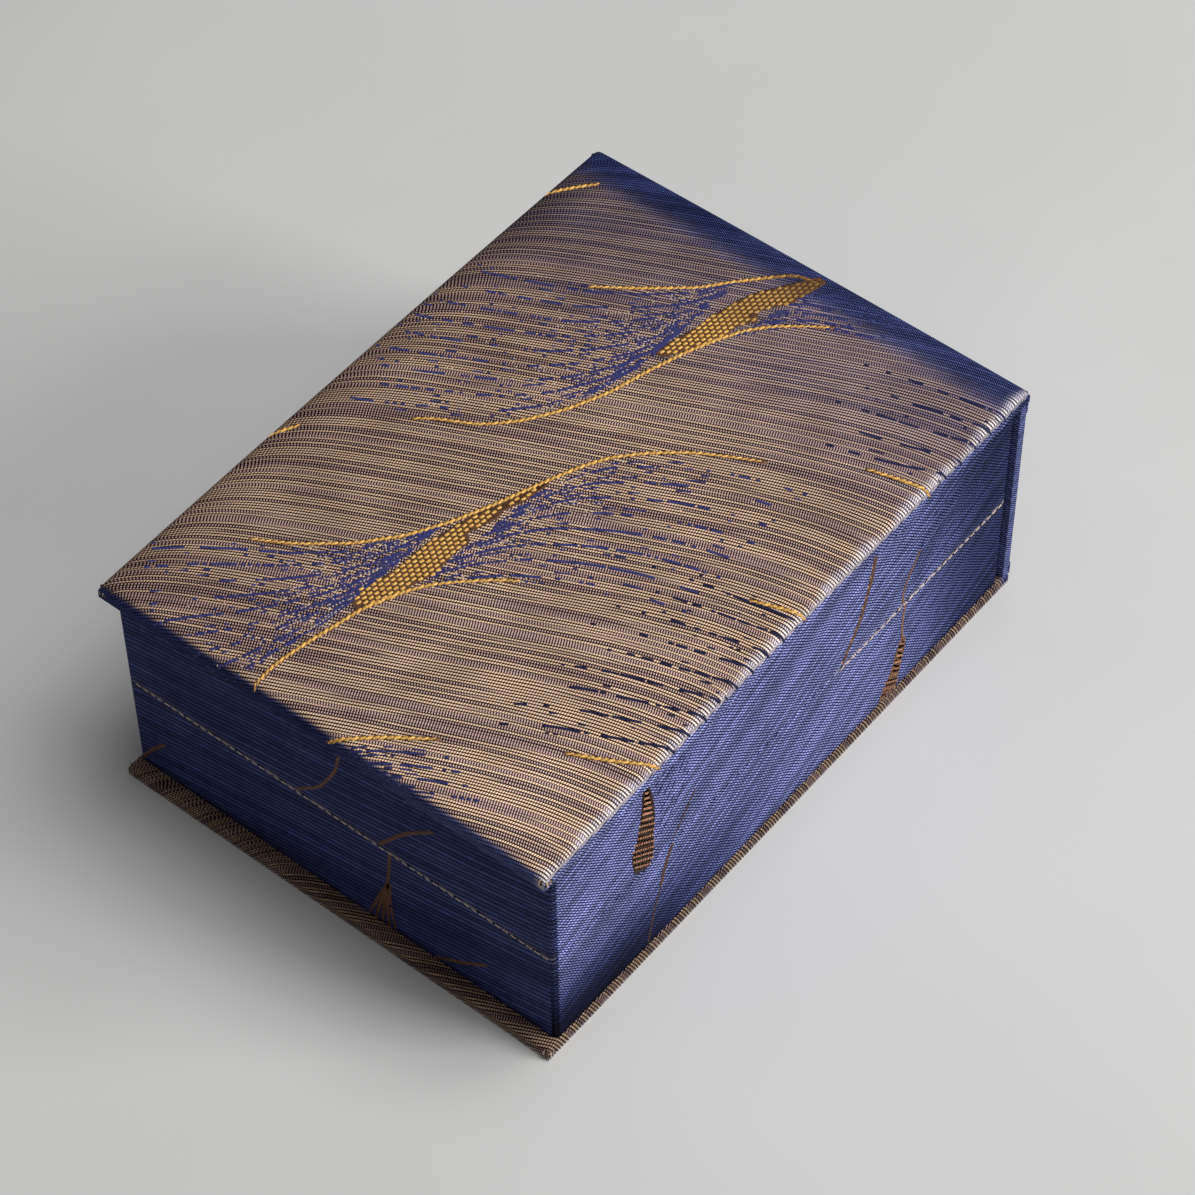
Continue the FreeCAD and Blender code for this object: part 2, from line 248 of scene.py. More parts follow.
def brocade_weave():
    """The ground weave: rows of bright dots between black furrows, in groups, and a fine twill between them.

    Of the tone, the first channel is a painted reflection: at 1 the gold weft shows lit, at 0 unlit, as the
    blue silk; the second is a painted pale sheen on folds, and the third is painted light and shade on the
    colour.
    The dots step along a little from row to row. The blue silk has ribs crossed by slanting rungs instead.
    """
    group, given, result = new_group(
        "brocade_weave",
        {"Weave": "Vector", "GoldSheen": "Float", "PaleSheen": "Float", "Depth": "Float"},
        {"Color": "Color", "Roughness": "Float", "Height": "Float"},
    )
    weave = add(group, "ShaderNodeSeparateXYZ", given.outputs["Weave"])
    across, along = weave.outputs[0], weave.outputs[1]

    def noise_over(side, side_scale, along_scale, detail):
        """Noise over a value across the rows and the distance along them, each with its own scale."""
        scaled = calc(group, "MULTIPLY", side, side_scale), calc(group, "MULTIPLY", along, along_scale)
        spot = add(group, "ShaderNodeCombineXYZ", *scaled).outputs[0]
        return add(group, "ShaderNodeTexNoise", spot, None, 1.0, detail).outputs[0]

    shifted = calc(group, "MULTIPLY_ADD", noise_over(across, 0.3, 0.05, 1.0), ROW_WANDER, across)
    row = calc(group, "DIVIDE", shifted, BROCADE_ROW)
    number = calc(group, "FLOOR", row)
    luck = add(group, "ShaderNodeTexWhiteNoise", None, number, noise_dimensions="1D").outputs[0]
    grouped = calc(group, "MULTIPLY_ADD", luck, GROUP_SPREAD, noise_over(number, 0.8, 0.016, 0.0))
    bright = fade(group, grouped, 0.52, 0.58)
    middle = calc(group, "ABSOLUTE", calc(group, "SUBTRACT", calc(group, "FRACT", row), 0.5))
    ridge = fade(group, middle, 0.39, 0.19)
    crossing = calc(group, "DIVIDE", along, BROCADE_THREAD)

    def crossings(step, by):
        """Where a thread crosses: a wave along the rows that steps on from row to row."""
        at = calc(group, "MULTIPLY_ADD", step, by, crossing)
        wave = calc(group, "COSINE", calc(group, "MULTIPLY", at, 2 * math.pi))
        return fade(group, wave, -0.6, 0.6)

    dots = crossings(number, DOT_STEP)
    twill = crossings(row, TWILL_STEP)
    rungs = crossings(row, RUNG_STEP)
    float_at = calc(group, "MULTIPLY_ADD", luck, 9.0, calc(group, "DIVIDE", along, BROCADE_FLOAT))
    float_spot = add(group, "ShaderNodeCombineXYZ", number, calc(group, "FLOOR", float_at)).outputs[0]
    uneven = add(group, "ShaderNodeTexWhiteNoise", float_spot, noise_dimensions="2D").outputs[0]
    lined_rows = fade(group, luck, 0.12, 0.2, 0.0, 0.92)
    lined = calc(group, "MULTIPLY", calc(group, "SUBTRACT", 1.0, ridge), lined_rows)

    def face_of(twill_colours, row_colours):
        """One colouring of the cloth: a lined twill of two tones, and rows with furrows, gaps and dots."""
        furrow, gap, dot = row_colours
        plain = tint(group, lined, tint(group, twill, *twill_colours), furrow)
        return tint(group, bright, plain, tint(group, ridge, furrow, tint(group, dots, gap, dot)))

    rib = fade(group, middle, 0.47, 0.27)
    blue_face = tint(group, rib, BLUE_FURROW, tint(group, rungs, *BLUE_RUNG))
    row_light = fade(group, luck, 0.0, 1.0, 0.7, 1.2)
    float_light = fade(group, uneven, 0.0, 1.0, 0.85, 1.12)
    blue_face = tint(group, 1.0, blue_face, calc(group, "MULTIPLY", row_light, float_light), "MULTIPLY")
    # Painted light and shade: the blue face is darkened by its powers of the painted light and the gold face
    # by the painted light itself; then the painted gold reflection picks the gold face over the blue, and the
    # painted pale sheen is mixed over both.
    shaded_channels = (calc(group, "POWER", given.outputs["Depth"], power) for power in BLUE_SHADE_POWERS)
    painted_shade = add(group, "ShaderNodeCombineColor", *shaded_channels).outputs[0]
    blue_face = tint(group, 1.0, blue_face, painted_shade, "MULTIPLY")
    gold_face = tint(group, 1.0, face_of(GOLD_TWILL, GOLD_ROW), given.outputs["Depth"], "MULTIPLY")
    face = tint(group, given.outputs["GoldSheen"], blue_face, gold_face)
    face = tint(group, given.outputs["PaleSheen"], face, face_of(SHEEN_TWILL, SHEEN_ROW))
    worn = add(group, "ShaderNodeTexNoise", given.outputs["Weave"], None, 0.09, 3.0).outputs[0]
    face = tint(group, 1.0, face, fade(group, worn, 0.3, 0.7, 0.86, 1.1), "MULTIPLY")
    group.links.new(face, result.inputs["Color"])
    raised = calc(group, "MULTIPLY", ridge, calc(group, "MULTIPLY_ADD", dots, 0.5, 0.5))
    sunk = calc(group, "MULTIPLY", twill, 0.5)
    height = calc(group, "MULTIPLY_ADD", bright, calc(group, "SUBTRACT", raised, sunk), sunk)
    group.links.new(height, result.inputs["Height"])
    group.links.new(fade(group, height, 0.0, 1.0, 0.66, 0.46), result.inputs["Roughness"])
    return group


def brocade_material():
    """Woven brocade: rows from the piece's UV map; painted gold reflection, pale sheen and shade from its
    tone.
    """
    material, tree, cloth = new_material("brocade")
    weave = add(tree, "ShaderNodeUVMap", uv_map="weave")
    kept = add(tree, "ShaderNodeAttribute", attribute_name="tone")
    tone = add(tree, "ShaderNodeSeparateXYZ", kept.outputs["Vector"])
    ground = add(tree, "ShaderNodeGroup", node_tree=brocade_weave())
    sources = (weave.outputs[0], *tone.outputs)
    for label, source in zip(("Weave", "GoldSheen", "PaleSheen", "Depth"), sources):
        tree.links.new(source, ground.inputs[label])
    tree.links.new(ground.outputs["Color"], cloth.inputs["Base Color"])
    tree.links.new(ground.outputs["Roughness"], cloth.inputs["Roughness"])
    relief(tree, cloth, ground.outputs["Height"], 0.55, 0.00012)
    cloth.inputs["Specular IOR Level"].default_value = 0.03
    return material


def smooth_step(value, low, high):
    """0 below low, 1 above high, and a smooth rise between them."""
    share = np.clip((np.asarray(value, float) - low) / (high - low), 0, 1)
    return share * share * (3 - 2 * share)


brocade = brocade_material()
BASE = {"half": (67.5, 48.7), "top": 2.6, "foot": 0.0, "crown": 0.0, "roll": 0.8}
BASE_PATTERN = (23.0, 31.0)
points, quads, cloth = wrapped_panel(BASE, 2.0)
# Painted light on the ledge: the gold reflection fades out towards the spine end, a painted pale sheen lies
# along its lowest edge, and painted shade darkens it all, more on the near side.
gold_sheen = 1 - smooth_step(points[:, 0], 64.5, 66.5)
pale_sheen = 0.55 * smooth_step(-points[:, 2], -0.9, -0.1)
painted_light = 0.5 - 0.1 * (points[:, 1] < -47.0)
tone = np.stack([gold_sheen, pale_sheen, painted_light], -1)
base_wrap = make_piece("base_wrap", points, quads, weave_on_panel(cloth + BASE_PATTERN), brocade, tone)
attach(base_wrap, "base")
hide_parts("base_cover_cloth")

# The lower shell's cover is one strip of brocade, glued round the four walls, over the rim and down inside.
# Rows of the weave climb to the right on each side, and brown-gold stems cross it.
SHELL_X, SHELL_Y = (-64.7, 64.55), 48.2
WALL_THICK, CLOTH_THICK = 3.1, 0.35
RIM_LEVEL, RIM_TURN_IN, RIM_ROLL, WALL_CORNER = 25.9, 8.0, 0.4, 1.2


def walked_along(x, y):
    """How far along a line each of its points lies."""
    return np.concatenate([[0], np.cumsum(np.hypot(np.diff(x), np.diff(y)))])


def wall_loop(inset, steps, corner):
    """A rounded rectangle round the shell, moved in by each inset, from the far end of the opening edge.

    Each side is divided evenly and each corner is a quarter circle of radius corner less the inset, but not
    below nothing. Gives x and y for each inset and the distance gone round.
    """
    inset = np.asarray(inset, float)[:, None]
    x_low, x_high = SHELL_X[0] + inset, SHELL_X[1] - inset
    y_low, y_high = -SHELL_Y + inset, SHELL_Y - inset
    bend = np.maximum(corner - inset, 0)
    ways = (
        (x_low, y_low, 1, 1, 180), (x_high, y_low, -1, 1, 270),
        (x_high, y_high, -1, -1, 0), (x_low, y_high, 1, -1, 90),
    )
    x_parts, y_parts = [], []
    for corner_x, corner_y, to_x, to_y, start in ways:
        turn = np.radians(start + np.linspace(0, 90, 7))
        x_parts.append(corner_x + to_x * bend + bend * np.cos(turn))
        y_parts.append(corner_y + to_y * bend + bend * np.sin(turn))
    share = np.linspace(0, 1, steps)[1:-1]
    x_all, y_all = [], []
    for number in range(4):
        before = number - 1
        x_all += [x_parts[before][:, -1:] * (1 - share) + x_parts[number][:, :1] * share, x_parts[number]]
        y_all += [y_parts[before][:, -1:] * (1 - share) + y_parts[number][:, :1] * share, y_parts[number]]
    x, y = np.hstack([x_parts[3][:, -1:], *x_all]), np.hstack([y_parts[3][:, -1:], *y_all])
    return x, y, walked_along(x[0], y[0])


# Slope of the rows at places round the walls: the opening edge, the near side, the back and the far side
WALL_SLOPE_AT = np.array([0, 48, 96, 161, 226, 275, 323, 388, 452])
WALL_SLOPE = np.array([0.22, 0.20, 0.28, 0.44, 0.40, 0.32, 0.30, 0.28, 0.22])
WALL_ROWS, WALL_THREADS = 0.58, 0.85


def weave_on_wall(gone, height):
    """Rows of the weave on a wall: they climb as they go round, and the climb adds up along the way."""
    way = np.linspace(-5, 460, 931)
    climb = np.cumsum(np.interp(way, WALL_SLOPE_AT, WALL_SLOPE)) * (way[1] - way[0])
    return np.stack([WALL_ROWS * (height - np.interp(gone, way, climb)), WALL_THREADS * gone], -1)


# Painted light and shade of the colour on the opening edge, the near side, the back and the far side, and
# where they meet
WALL_PAINTED_LIGHT, FAR_PAINTED_LIGHT = (0.3, 1.0, 0.7), 0.65
OPENING_END, NEAR_END, BACK_END = -63.6, -47.1, 63.4


def wall_strip(name, foot, rim, material):
    """A strip of cloth round the shell: its section runs up the wall, over the rolled rim and down inside,
    then back at the cloth's thickness, and is carried round the wall's rounded rectangle."""
    up = 1 if rim > foot else -1
    tall = abs(rim - foot)
    turn = np.linspace(0, np.pi / 2, 6)
    r, w, c = RIM_ROLL, WALL_THICK, CLOTH_THICK
    inset = np.concatenate([
        np.zeros(12), r - r * np.cos(turn), w - r + r * np.sin(turn), [w, w, w - c, w - c, c, c],
    ])
    level = np.concatenate([
        np.linspace(0, tall - r, 13)[:-1], tall - r + r * np.sin(turn), tall - r + r * np.cos(turn),
        [tall - 4, tall - RIM_TURN_IN, tall - RIM_TURN_IN, tall - c, tall - c, 0],
    ])
    x, y, gone = wall_loop(inset, 66, WALL_CORNER)
    slack = np.minimum(0.06 * np.sin(gone / 5.3 + 1.1) + 0.05 * np.sin(gone / 2.1), 0)
    height = (foot + up * level)[:, None] + up * (level > tall - 1.5)[:, None] * slack
    walked = walked_along(inset, level)
    # A painted glint along the fold at the top of the rim, where light catches the edge threads: gold and
    # pale on the opening edge and the spine end of the near side, weaker on the back and far side.
    fold = 0.5 * np.exp(-((walked - (tall - 0.1)) / 0.2) ** 2)[:, None]
    behind = ((x > 64) | (y > 47)) * (y > -47) * (x > -64)
    fold_glint = fold * np.clip(smooth_step(x, 6, 22) * (y < -47) + (x < -64) + 0.7 * behind, 0, 1)
    # Painted light and shade by side: dark on the opening edge, full on the near side, less on the back and
    # far side; painted shade on the near side darkens it towards its foot at the opening end and towards the
    # spine end.
    near = y < NEAR_END
    painted_light = np.select([x < OPENING_END, near, x > BACK_END], WALL_PAINTED_LIGHT, FAR_PAINTED_LIGHT)
    shade = 0.96 * smooth_step(-height, -26, -5) * smooth_step(-x, -10, 50) + 0.8 * smooth_step(x, 24, 60)
    painted_light = painted_light * (1 - shade * near)
    points = np.stack([x, y, height], -1).reshape(-1, 3)
    round_all, up_all = np.broadcast_arrays(gone, (foot + up * walked)[:, None])
    weave = weave_on_wall(round_all.ravel(), up_all.ravel())
    # The walls get no painted gold reflection, so the blue face shows, as the gold weft looks unlit there;
    # only the fold's painted glint adds gold, pale sheen and light.
    tone = np.stack([fold_glint, 0.6 * fold_glint, np.maximum(painted_light, 0.9 * fold_glint)], -1).reshape(-1, 3)
    return make_piece(name, points, grid_quads(len(inset), len(gone), closed=True), weave, material, tone)


LINE_STEP = 0.25


def line_at(places, gone, line):
    """The points of a line at places along it, where gone is how far along each of its own points lies."""
    return np.stack([np.interp(places, gone, line[:, axis]) for axis in (0, 1)], -1)


def flowing_line(knots, ease=4.0):
    """A smooth line through knots: straight runs sampled evenly, then a running mean, with its ends kept."""
    knots = np.asarray(knots, float)
    gone = walked_along(*knots.T)
    line = line_at(np.arange(0, gone[-1] + LINE_STEP, LINE_STEP), gone, knots)
    count = min(int(ease / LINE_STEP), len(line) - 1)
    padded = np.concatenate([2 * line[0] - line[count:0:-1], line, 2 * line[-1] - line[-2:-count - 2:-1]])
    wide = 2 * (count // 2) + 1
    mean = np.ones(wide) / wide
    smoothed = np.stack([np.convolve(padded[:, axis], mean, "same") for axis in (0, 1)], -1)
    return smoothed[count:count + len(line)]


def stitches_on(line, pitch, slant):
    """Stitches along a line, one each pitch, turned by slant degrees: their middles and directions."""
    gone = walked_along(*line.T)
    at = np.arange(pitch / 2, gone[-1], pitch)
    heading = line_at(at, gone, np.gradient(line, axis=0))
    heading /= np.linalg.norm(heading, axis=1)[:, None]
    c, s = math.cos(math.radians(slant)), math.sin(math.radians(slant))
    return line_at(at, gone, line), heading @ np.array([[c, s], [-s, c]])


# Chances of a stitch along a fan: everywhere, and nearly everywhere
ALL, FULL = ((0.0, 1.0), (1.0, 1.0)), ((0.0, 1.0), (0.97, 0.97))


def stitches_between(first, second, rows, pitch, chance, seed):
    """Stitches in rows that fan between two lines: each row is a fixed mix of both, and a cell of a row holds
    a stitch where a seeded number, evened along the row, ranks under the chance at that place."""
    cells = max(int(max(len(first), len(second)) * LINE_STEP / pitch), 3)
    share = (np.arange(cells) + 0.5) / cells
    ends = [line_at(share, np.linspace(0, 1, len(line)), line) for line in (first, second)]
    mix = ((np.arange(rows) + 0.5) / rows)[:, None, None]
    stagger = 0.5 * (np.arange(rows) % 2)[:, None, None] * np.gradient((ends[0] + ends[1]) / 2, axis=0)[None]
    middles = (1 - mix) * ends[0][None] + mix * ends[1][None] + stagger
    heading = np.gradient(middles, axis=1)
    heading /= np.linalg.norm(heading, axis=2)[..., None]
    luck = np.random.default_rng(seed).random((rows, cells + 2))
    evened = (luck[:, :-2] + luck[:, 1:-1] + luck[:, 2:]) / 3
    rank = np.argsort(np.argsort(evened.reshape(-1))).reshape(rows, cells) / (rows * cells)
    held = rank < np.interp(share, *chance)[None, :]
    return middles[held], heading[held]


def thread_floats(name, groups, material):
    """Short raised threads that lie on a cloth: each a six-sided spindle, pointed at both ends.

    A group gives a place function (cloth across, cloth along, lift) to a point, the stitches' middles and
    directions, their length, width and height, and a shade.
    """
    ring = np.radians(np.arange(7) * 60)
    lengthwise = np.array([-1, -0.72, 0.72, 1])[:, None]
    thick = np.array([0, 1, 1, 0])[:, None]
    a, b, lift = lengthwise + 0 * ring, thick * np.cos(ring), thick * np.sin(ring)
    spindle = grid_quads(*a.shape)
    points, quads, weave, tone = [], [], [], []
    total = 0
    for place, (middles, heading), sizes, shade in groups:
        length, width, height = (np.broadcast_to(size, len(middles))[:, None, None] for size in sizes)
        side = np.stack([-heading[:, 1], heading[:, 0]], -1)
        flat = np.stack([a * length / 2, b * width / 2], -1)
        middle = middles[:, None, None, :]
        spot = middle + heading[:, None, None, :] * flat[..., :1] + side[:, None, None, :] * flat[..., 1:]
        points.append(place(spot[..., 0].reshape(-1), spot[..., 1].reshape(-1), (lift * height).reshape(-1)))
        starts = total + np.arange(len(middles)) * a.size
        quads.append((starts[:, None, None] + spindle[None]).reshape(-1, 4))
        weave.append((flat + middle).reshape(-1, 2))
        shades = np.repeat(np.broadcast_to(shade, len(middles)), a.size)
        tone.append(np.stack([shades, 0 * shades, 0 * shades], -1))
        total += len(middles) * a.size
    points, quads, weave, tone = (np.concatenate(part) for part in (points, quads, weave, tone))
    return make_piece(name, points, quads, weave, material, tone)


def on_near_side(x, z, lift):
    """A point on the shell's near side wall, right of the opening edge, lifted off it."""
    return np.stack([x, -SHELL_Y - lift, z], -1)


def on_opening_edge(y, z, lift):
    """A point on the shell's wall at the opening edge, lifted off it."""
    return np.stack([SHELL_X[0] - lift, y, z], -1)


def on_far_side(x, z, lift):
    """A point on the shell's far side wall, lifted off it."""
    return np.stack([x, SHELL_Y + lift, z], -1)


def thread_material(name, low, high, roughness, metallic):
    """Twisted thread: its colour runs between two tones with the twist, and its tone's shade darkens it."""
    material, tree, thread = new_material(name)
    weave = add(tree, "ShaderNodeUVMap", uv_map="weave").outputs[0]
    kept = add(tree, "ShaderNodeAttribute", attribute_name="tone")
    shade = add(tree, "ShaderNodeSeparateXYZ", kept.outputs["Vector"]).outputs[0]
    plies = add(tree, "ShaderNodeTexNoise", weave, None, 2.6, 2.0).outputs[0]
    twist = fade(tree, plies, 0.3, 0.7)
    shaded = tint(tree, shade, tint(tree, twist, low, high), tuple(0.16 * value for value in low))
    tree.links.new(shaded, thread.inputs["Base Color"])
    tree.links.new(fade(tree, twist, 0.0, 1.0, roughness + 0.1, roughness - 0.06), thread.inputs["Roughness"])
    relief(tree, thread, twist, 0.5, 0.00006)
    thread.inputs["Metallic"].default_value = metallic
    thread.inputs["Specular IOR Level"].default_value = 0.15
    return material


# The brown-gold thread is the gold motif thread as the walls show it, catching no light: a painted shaded
# copy of the gold thread. It is also used dark for the beds under the cover's gold.
brown_thread = thread_material("brown_gold_thread", (0.22, 0.075, 0.028), (0.66, 0.36, 0.22), 0.5, 0.1)
pale_thread = thread_material("pale_thread", (0.46, 0.34, 0.25), (0.90, 0.76, 0.60), 0.45, 0.1)
blue_thread = thread_material("blue_thread", (0.020, 0.023, 0.095), (0.050, 0.056, 0.20), 0.55, 0.0)
# Sizes of stitches are length, width and height
WALL_STITCH, RIM_STITCH = (1.2, 0.75, 0.07), (1.3, 0.36, 0.07)
SLIM_STITCH, DARK_STITCH, FAINT_STITCH = (1.0, 0.7, 0.07), (1.2, 1.0, 0.05), (1.3, 0.5, 0.05)
WALL_BED, WALL_BARB = (2.2, 1.2, 0.02), (1.0, 0.4, 0.03)
BAR_PITCH, BAR_WIDE, BAR_HIGH, BAR_HEADING = 1.5, 0.55, 0.12, np.array([0.79, -0.61])
BEAD_PITCH, BEAD, BEAD_MARGIN = 0.8, (0.5, 0.5, 0.12), 0.1


def wall_quill(place, lines, rows, seed, shade=0.0, bed_shade=1.0):
    """A quill on a wall: copper bars across a dark bed, one each pitch, broken up into beads further down."""
    share = np.linspace(0, 1, 200)
    borders = [line_at(share, np.linspace(0, 1, len(line)), line) for line in lines]
    middles, _ = stitches_on((borders[0] + borders[1]) / 2, BAR_PITCH, 0)
    gap = np.linalg.norm(borders[1] - borders[0], axis=1)
    wide = np.interp(np.linspace(0, 1, len(middles)), share, gap) / BAR_HEADING[0]
    heading = np.broadcast_to(BAR_HEADING, middles.shape)
    half = len(middles) // 2
    steps = np.arange(-4, 5) * BEAD_PITCH
    beads = middles[half:, None] + steps[None, :, None] * BAR_HEADING
    beads = beads[np.abs(steps)[None, :] < wide[half:, None] / 2 - BEAD_MARGIN]
    return [
        (place, (middles[:half], heading[:half]), (wide[:half], BAR_WIDE, BAR_HIGH), shade),
        (place, (beads, np.broadcast_to(BAR_HEADING, beads.shape)), BEAD, shade),
        (place, stitches_between(*lines, rows, 1.1, ALL, seed), WALL_BED, bed_shade),
    ]


def stem(place, knots, shade=0.5, size=WALL_STITCH, pitch=0.8, slant=20):
    """A stem on a wall: stitches along a flowing line through knots, as a group of thread floats."""
    return place, stitches_on(flowing_line(knots), pitch, slant), size, shade


tray_brocade = wall_strip("tray_brocade", BASE["top"], RIM_LEVEL, brocade)
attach(tray_brocade, "base")
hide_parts("tray_wall_cloth")

quill_foot = [
    flowing_line([(33.0, 15), (32.0, 13), (31.2, 9.5), (29.4, 6.4), (27.4, 3.4)], 2),
    flowing_line([(34.0, 15), (34.3, 12.6), (33.4, 8.3), (32.8, 4.8), (32.5, 3.4)], 2),
]
sheaf_foot = [
    flowing_line([(-11.2, 16), (-9.0, 11), (-5.6, 3.2)]),
    flowing_line([(-11.8, 16), (-11.6, 11), (-13.0, 3.2)]),
]
# A stem's shade darkens its brown thread; on the opening edge and low on the near side by the opening end it
# is painted shade.
tray_groups = [
    *wall_quill(on_near_side, quill_foot, 5, 3, 0.15, 0.6),
    stem(on_near_side, [(33.6, 25.2), (33.0, 20.7), (33.5, 15)], 0.5, SLIM_STITCH, 0.9, 30),
    stem(on_near_side, [(-33.1, 25.2), (-34.9, 21.9), (-36.3, 16.6)], 0.85, DARK_STITCH, 0.7, 30),
    stem(on_near_side, [(-36.3, 16.6), (-38.2, 10.5), (-39.8, 3.2)], 0.92, FAINT_STITCH, 0.8, 10),
    stem(on_opening_edge, [(-12.3, 25.2), (-11.6, 19), (-11, 15)], 0.8, slant=-20),
    (on_opening_edge, stitches_between(*sheaf_foot, 5, 0.9, FULL, 5), WALL_STITCH, 0.8),
    stem(on_opening_edge, [(-33, 11), (-27, 6.5), (-21.5, 3)], 0.8, slant=-20),
    stem(on_opening_edge, [(41, 12), (44.5, 8), (47, 4)], 0.8, slant=-20),
    stem(on_far_side, [(-30, 24), (-24, 17), (-22, 9), (-24, 3.2)]),
    stem(on_far_side, [(38, 22), (34, 14), (27, 8), (18, 3.2)]),
]
# Pale stitches along the seam at the rim's fold: the stitched line follows the fold, and its pale colour is a
# painted glint of light on the fold's edge threads.
SEAM_LEVEL, SEAM_PITCH, SEAM_SLANT = 25.5, 1.7, 4
seam_runs = ((on_opening_edge, -47.0, 47.0), (on_near_side, 14.0, 63.0), (on_far_side, -63.0, 63.0))
rim_seam = []
for place, start, end in seam_runs:
    run = np.array([(start, SEAM_LEVEL), (end, SEAM_LEVEL)])
    rim_seam.append((place, stitches_on(run, SEAM_PITCH, SEAM_SLANT), RIM_STITCH, 0.0))
tray_seam = thread_floats("tray_seam", rim_seam, pale_thread)
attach(tray_seam, "base")
tray_stems = thread_floats("tray_stems", tray_groups, brown_thread)
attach(tray_stems, "base")

# The lower shell is lined with card in golden satin, and a flat foam cushion in the same satin lies on its
# floor, pulled down at the edges where the satin goes round the card.
LINING_INSET, LINING_THICK, LINING_DROP = 3.2, 1.0, 1.5


def satin_material():
    """Golden satin: fine floats along one way, a slow painted sheen that lightens the colour in broad
    patches, and a soft gloss.
    """
    material, tree, cloth = new_material("satin")
    weave = add(tree, "ShaderNodeUVMap", uv_map="weave").outputs[0]
    stretched = add(tree, "ShaderNodeMapping", weave, None, None, (7.0, 1.2, 1.0)).outputs[0]
    floats = add(tree, "ShaderNodeTexNoise", stretched, None, 1.0, 3.0).outputs[0]
    # Painted sheen: broad soft patches of the colour made lighter gold
    slack = add(tree, "ShaderNodeTexNoise", weave, None, 0.03, 1.0).outputs[0]
    fine = fade(tree, floats, 0.3, 0.7)
    colour = tint(tree, fine, (0.46, 0.27, 0.065), (0.66, 0.42, 0.13))
    colour = tint(tree, fade(tree, slack, 0.3, 0.75, 0.0, 0.4), colour, (0.74, 0.52, 0.20))
    tree.links.new(colour, cloth.inputs["Base Color"])
    tree.links.new(fade(tree, fine, 0.0, 1.0, 0.46, 0.34), cloth.inputs["Roughness"])
    relief(tree, cloth, fine, 0.25, 0.00008)
    cloth.inputs["Sheen Weight"].default_value = 0.3
    cloth.inputs["Sheen Roughness"].default_value = 0.35
    return material


def lining_strip(name, foot, edge, material):
    """The lining: a thin upright ring inside the wall, its rim rounded over."""
    up = 1 if edge > foot else -1
    tall = abs(edge - foot)
    turn = np.linspace(0, np.pi, 9)
    half = LINING_THICK / 2
    inset = LINING_INSET + np.concatenate([np.zeros(6), half - half * np.cos(turn), np.full(6, LINING_THICK)])
    rise = np.linspace(0, tall - half, 7)
    level = np.concatenate([rise[:-1], tall - half + half * np.sin(turn), rise[::-1][1:]])
    x, y, gone = wall_loop(inset, 50, 0.0)
    height = np.broadcast_to((foot + up * level)[:, None], x.shape)
    points = np.stack([x, y, height], -1).reshape(-1, 3)
    walked = walked_along(inset, level)
    weave = np.stack(np.broadcast_arrays(gone[None, :], walked[:, None]), -1).reshape(-1, 2)
    return make_piece(name, points, grid_quads(len(inset), len(gone), closed=True), weave, material)


CREASE_HIGH, DIMPLE_DEEP = 0.14, 0.12


def satin_pad(name, pad, level, up, pull, material):
    """A foam pad in satin: a wrapped panel whose sides pull in between the corners, with creases near its
    edge and soft dimples. It is laid on its level, upwards or hanging down."""
    points, quads, cloth = wrapped_panel(pad, 1.4)
    x, y, z = points.T
    hx, hy = pad["half"]
    rise = (z - pad["foot"]) / (pad["top"] - pad["foot"])
    squeeze_x = 1 - pull / hx * (1 - (y / hy) ** 2) * rise
    squeeze_y = 1 - pull / hy * (1 - (x / hx) ** 2) * rise
    edge = np.maximum(np.abs(x) / hx, np.abs(y) / hy)
    ripple = np.sin((x * np.sign(y) - y * np.sign(x)) / 2.4)
    creases = CREASE_HIGH * np.exp(-((edge - 0.93) / 0.05) ** 2) * ripple * rise
    z = z + creases - DIMPLE_DEEP * rise * (np.sin(x / 13.0) * np.cos(y / 11.0) + 1)
    middle = (SHELL_X[0] + SHELL_X[1]) / 2
    points = np.stack([middle + x * squeeze_x, y * squeeze_y, level + up * z], -1)
    return make_piece(name, points, quads, cloth, material)


satin = satin_material()
tray_satin = lining_strip("tray_satin", BASE["top"], RIM_LEVEL - LINING_DROP, satin)
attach(tray_satin, "base")
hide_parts("tray_lining")
CUSHION = {"half": (60.1, 43.7), "top": 6.0, "foot": 0.0, "crown": 1.0, "roll": 2.5}
cushion = satin_pad("cushion", CUSHION, BASE["top"], 1, 0.5, satin)
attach(cushion, "base")
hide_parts("cushion_satin", "cushion_foam")

# The spine is a narrow board in its own wrap of brocade, lined inside with satin. Two free folds of cloth,
# one above and one below it, join it to the base and the cover and are all that the lid turns on.
SPINE = {"half": (48.8, 23.35), "top": 67.5, "foot": 65.2, "crown": 0.0, "roll": 0.5}
SPINE_MIDDLE, SPINE_GONE, SPINE_WEAVE = 26.3, 273.8, 1.3
FOLD_ROOM, FOLD_FROM, FOLD_OUTSIDE = 0.36, 20.69, 66.9
# The spine's tone: no painted gold reflection or pale sheen, and painted shade at the back wall's level
SPINE_TONE = (0.0, 0.0, 0.7)
points, quads, cloth = wrapped_panel(SPINE, 2.0)
points = np.stack([points[:, 2], points[:, 0], points[:, 1] + SPINE_MIDDLE], -1)
under_fold = (np.abs(points[:, 2] - SPINE_MIDDLE) > FOLD_FROM) & (points[:, 0] > FOLD_OUTSIDE)
points[:, 0] -= FOLD_ROOM * under_fold
weave = SPINE_WEAVE * weave_on_wall(SPINE_GONE + cloth[:, 0], SPINE_MIDDLE + cloth[:, 1])
spine_wrap = make_piece("spine_wrap", points, quads, weave, brocade, SPINE_TONE)
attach(spine_wrap, "spine")
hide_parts("spine_cover_cloth")


def on_spine(y, z, lift):
    """A point on the outside of the spine, lifted off it."""
    return np.stack([SPINE["top"] + lift, y, z], -1)


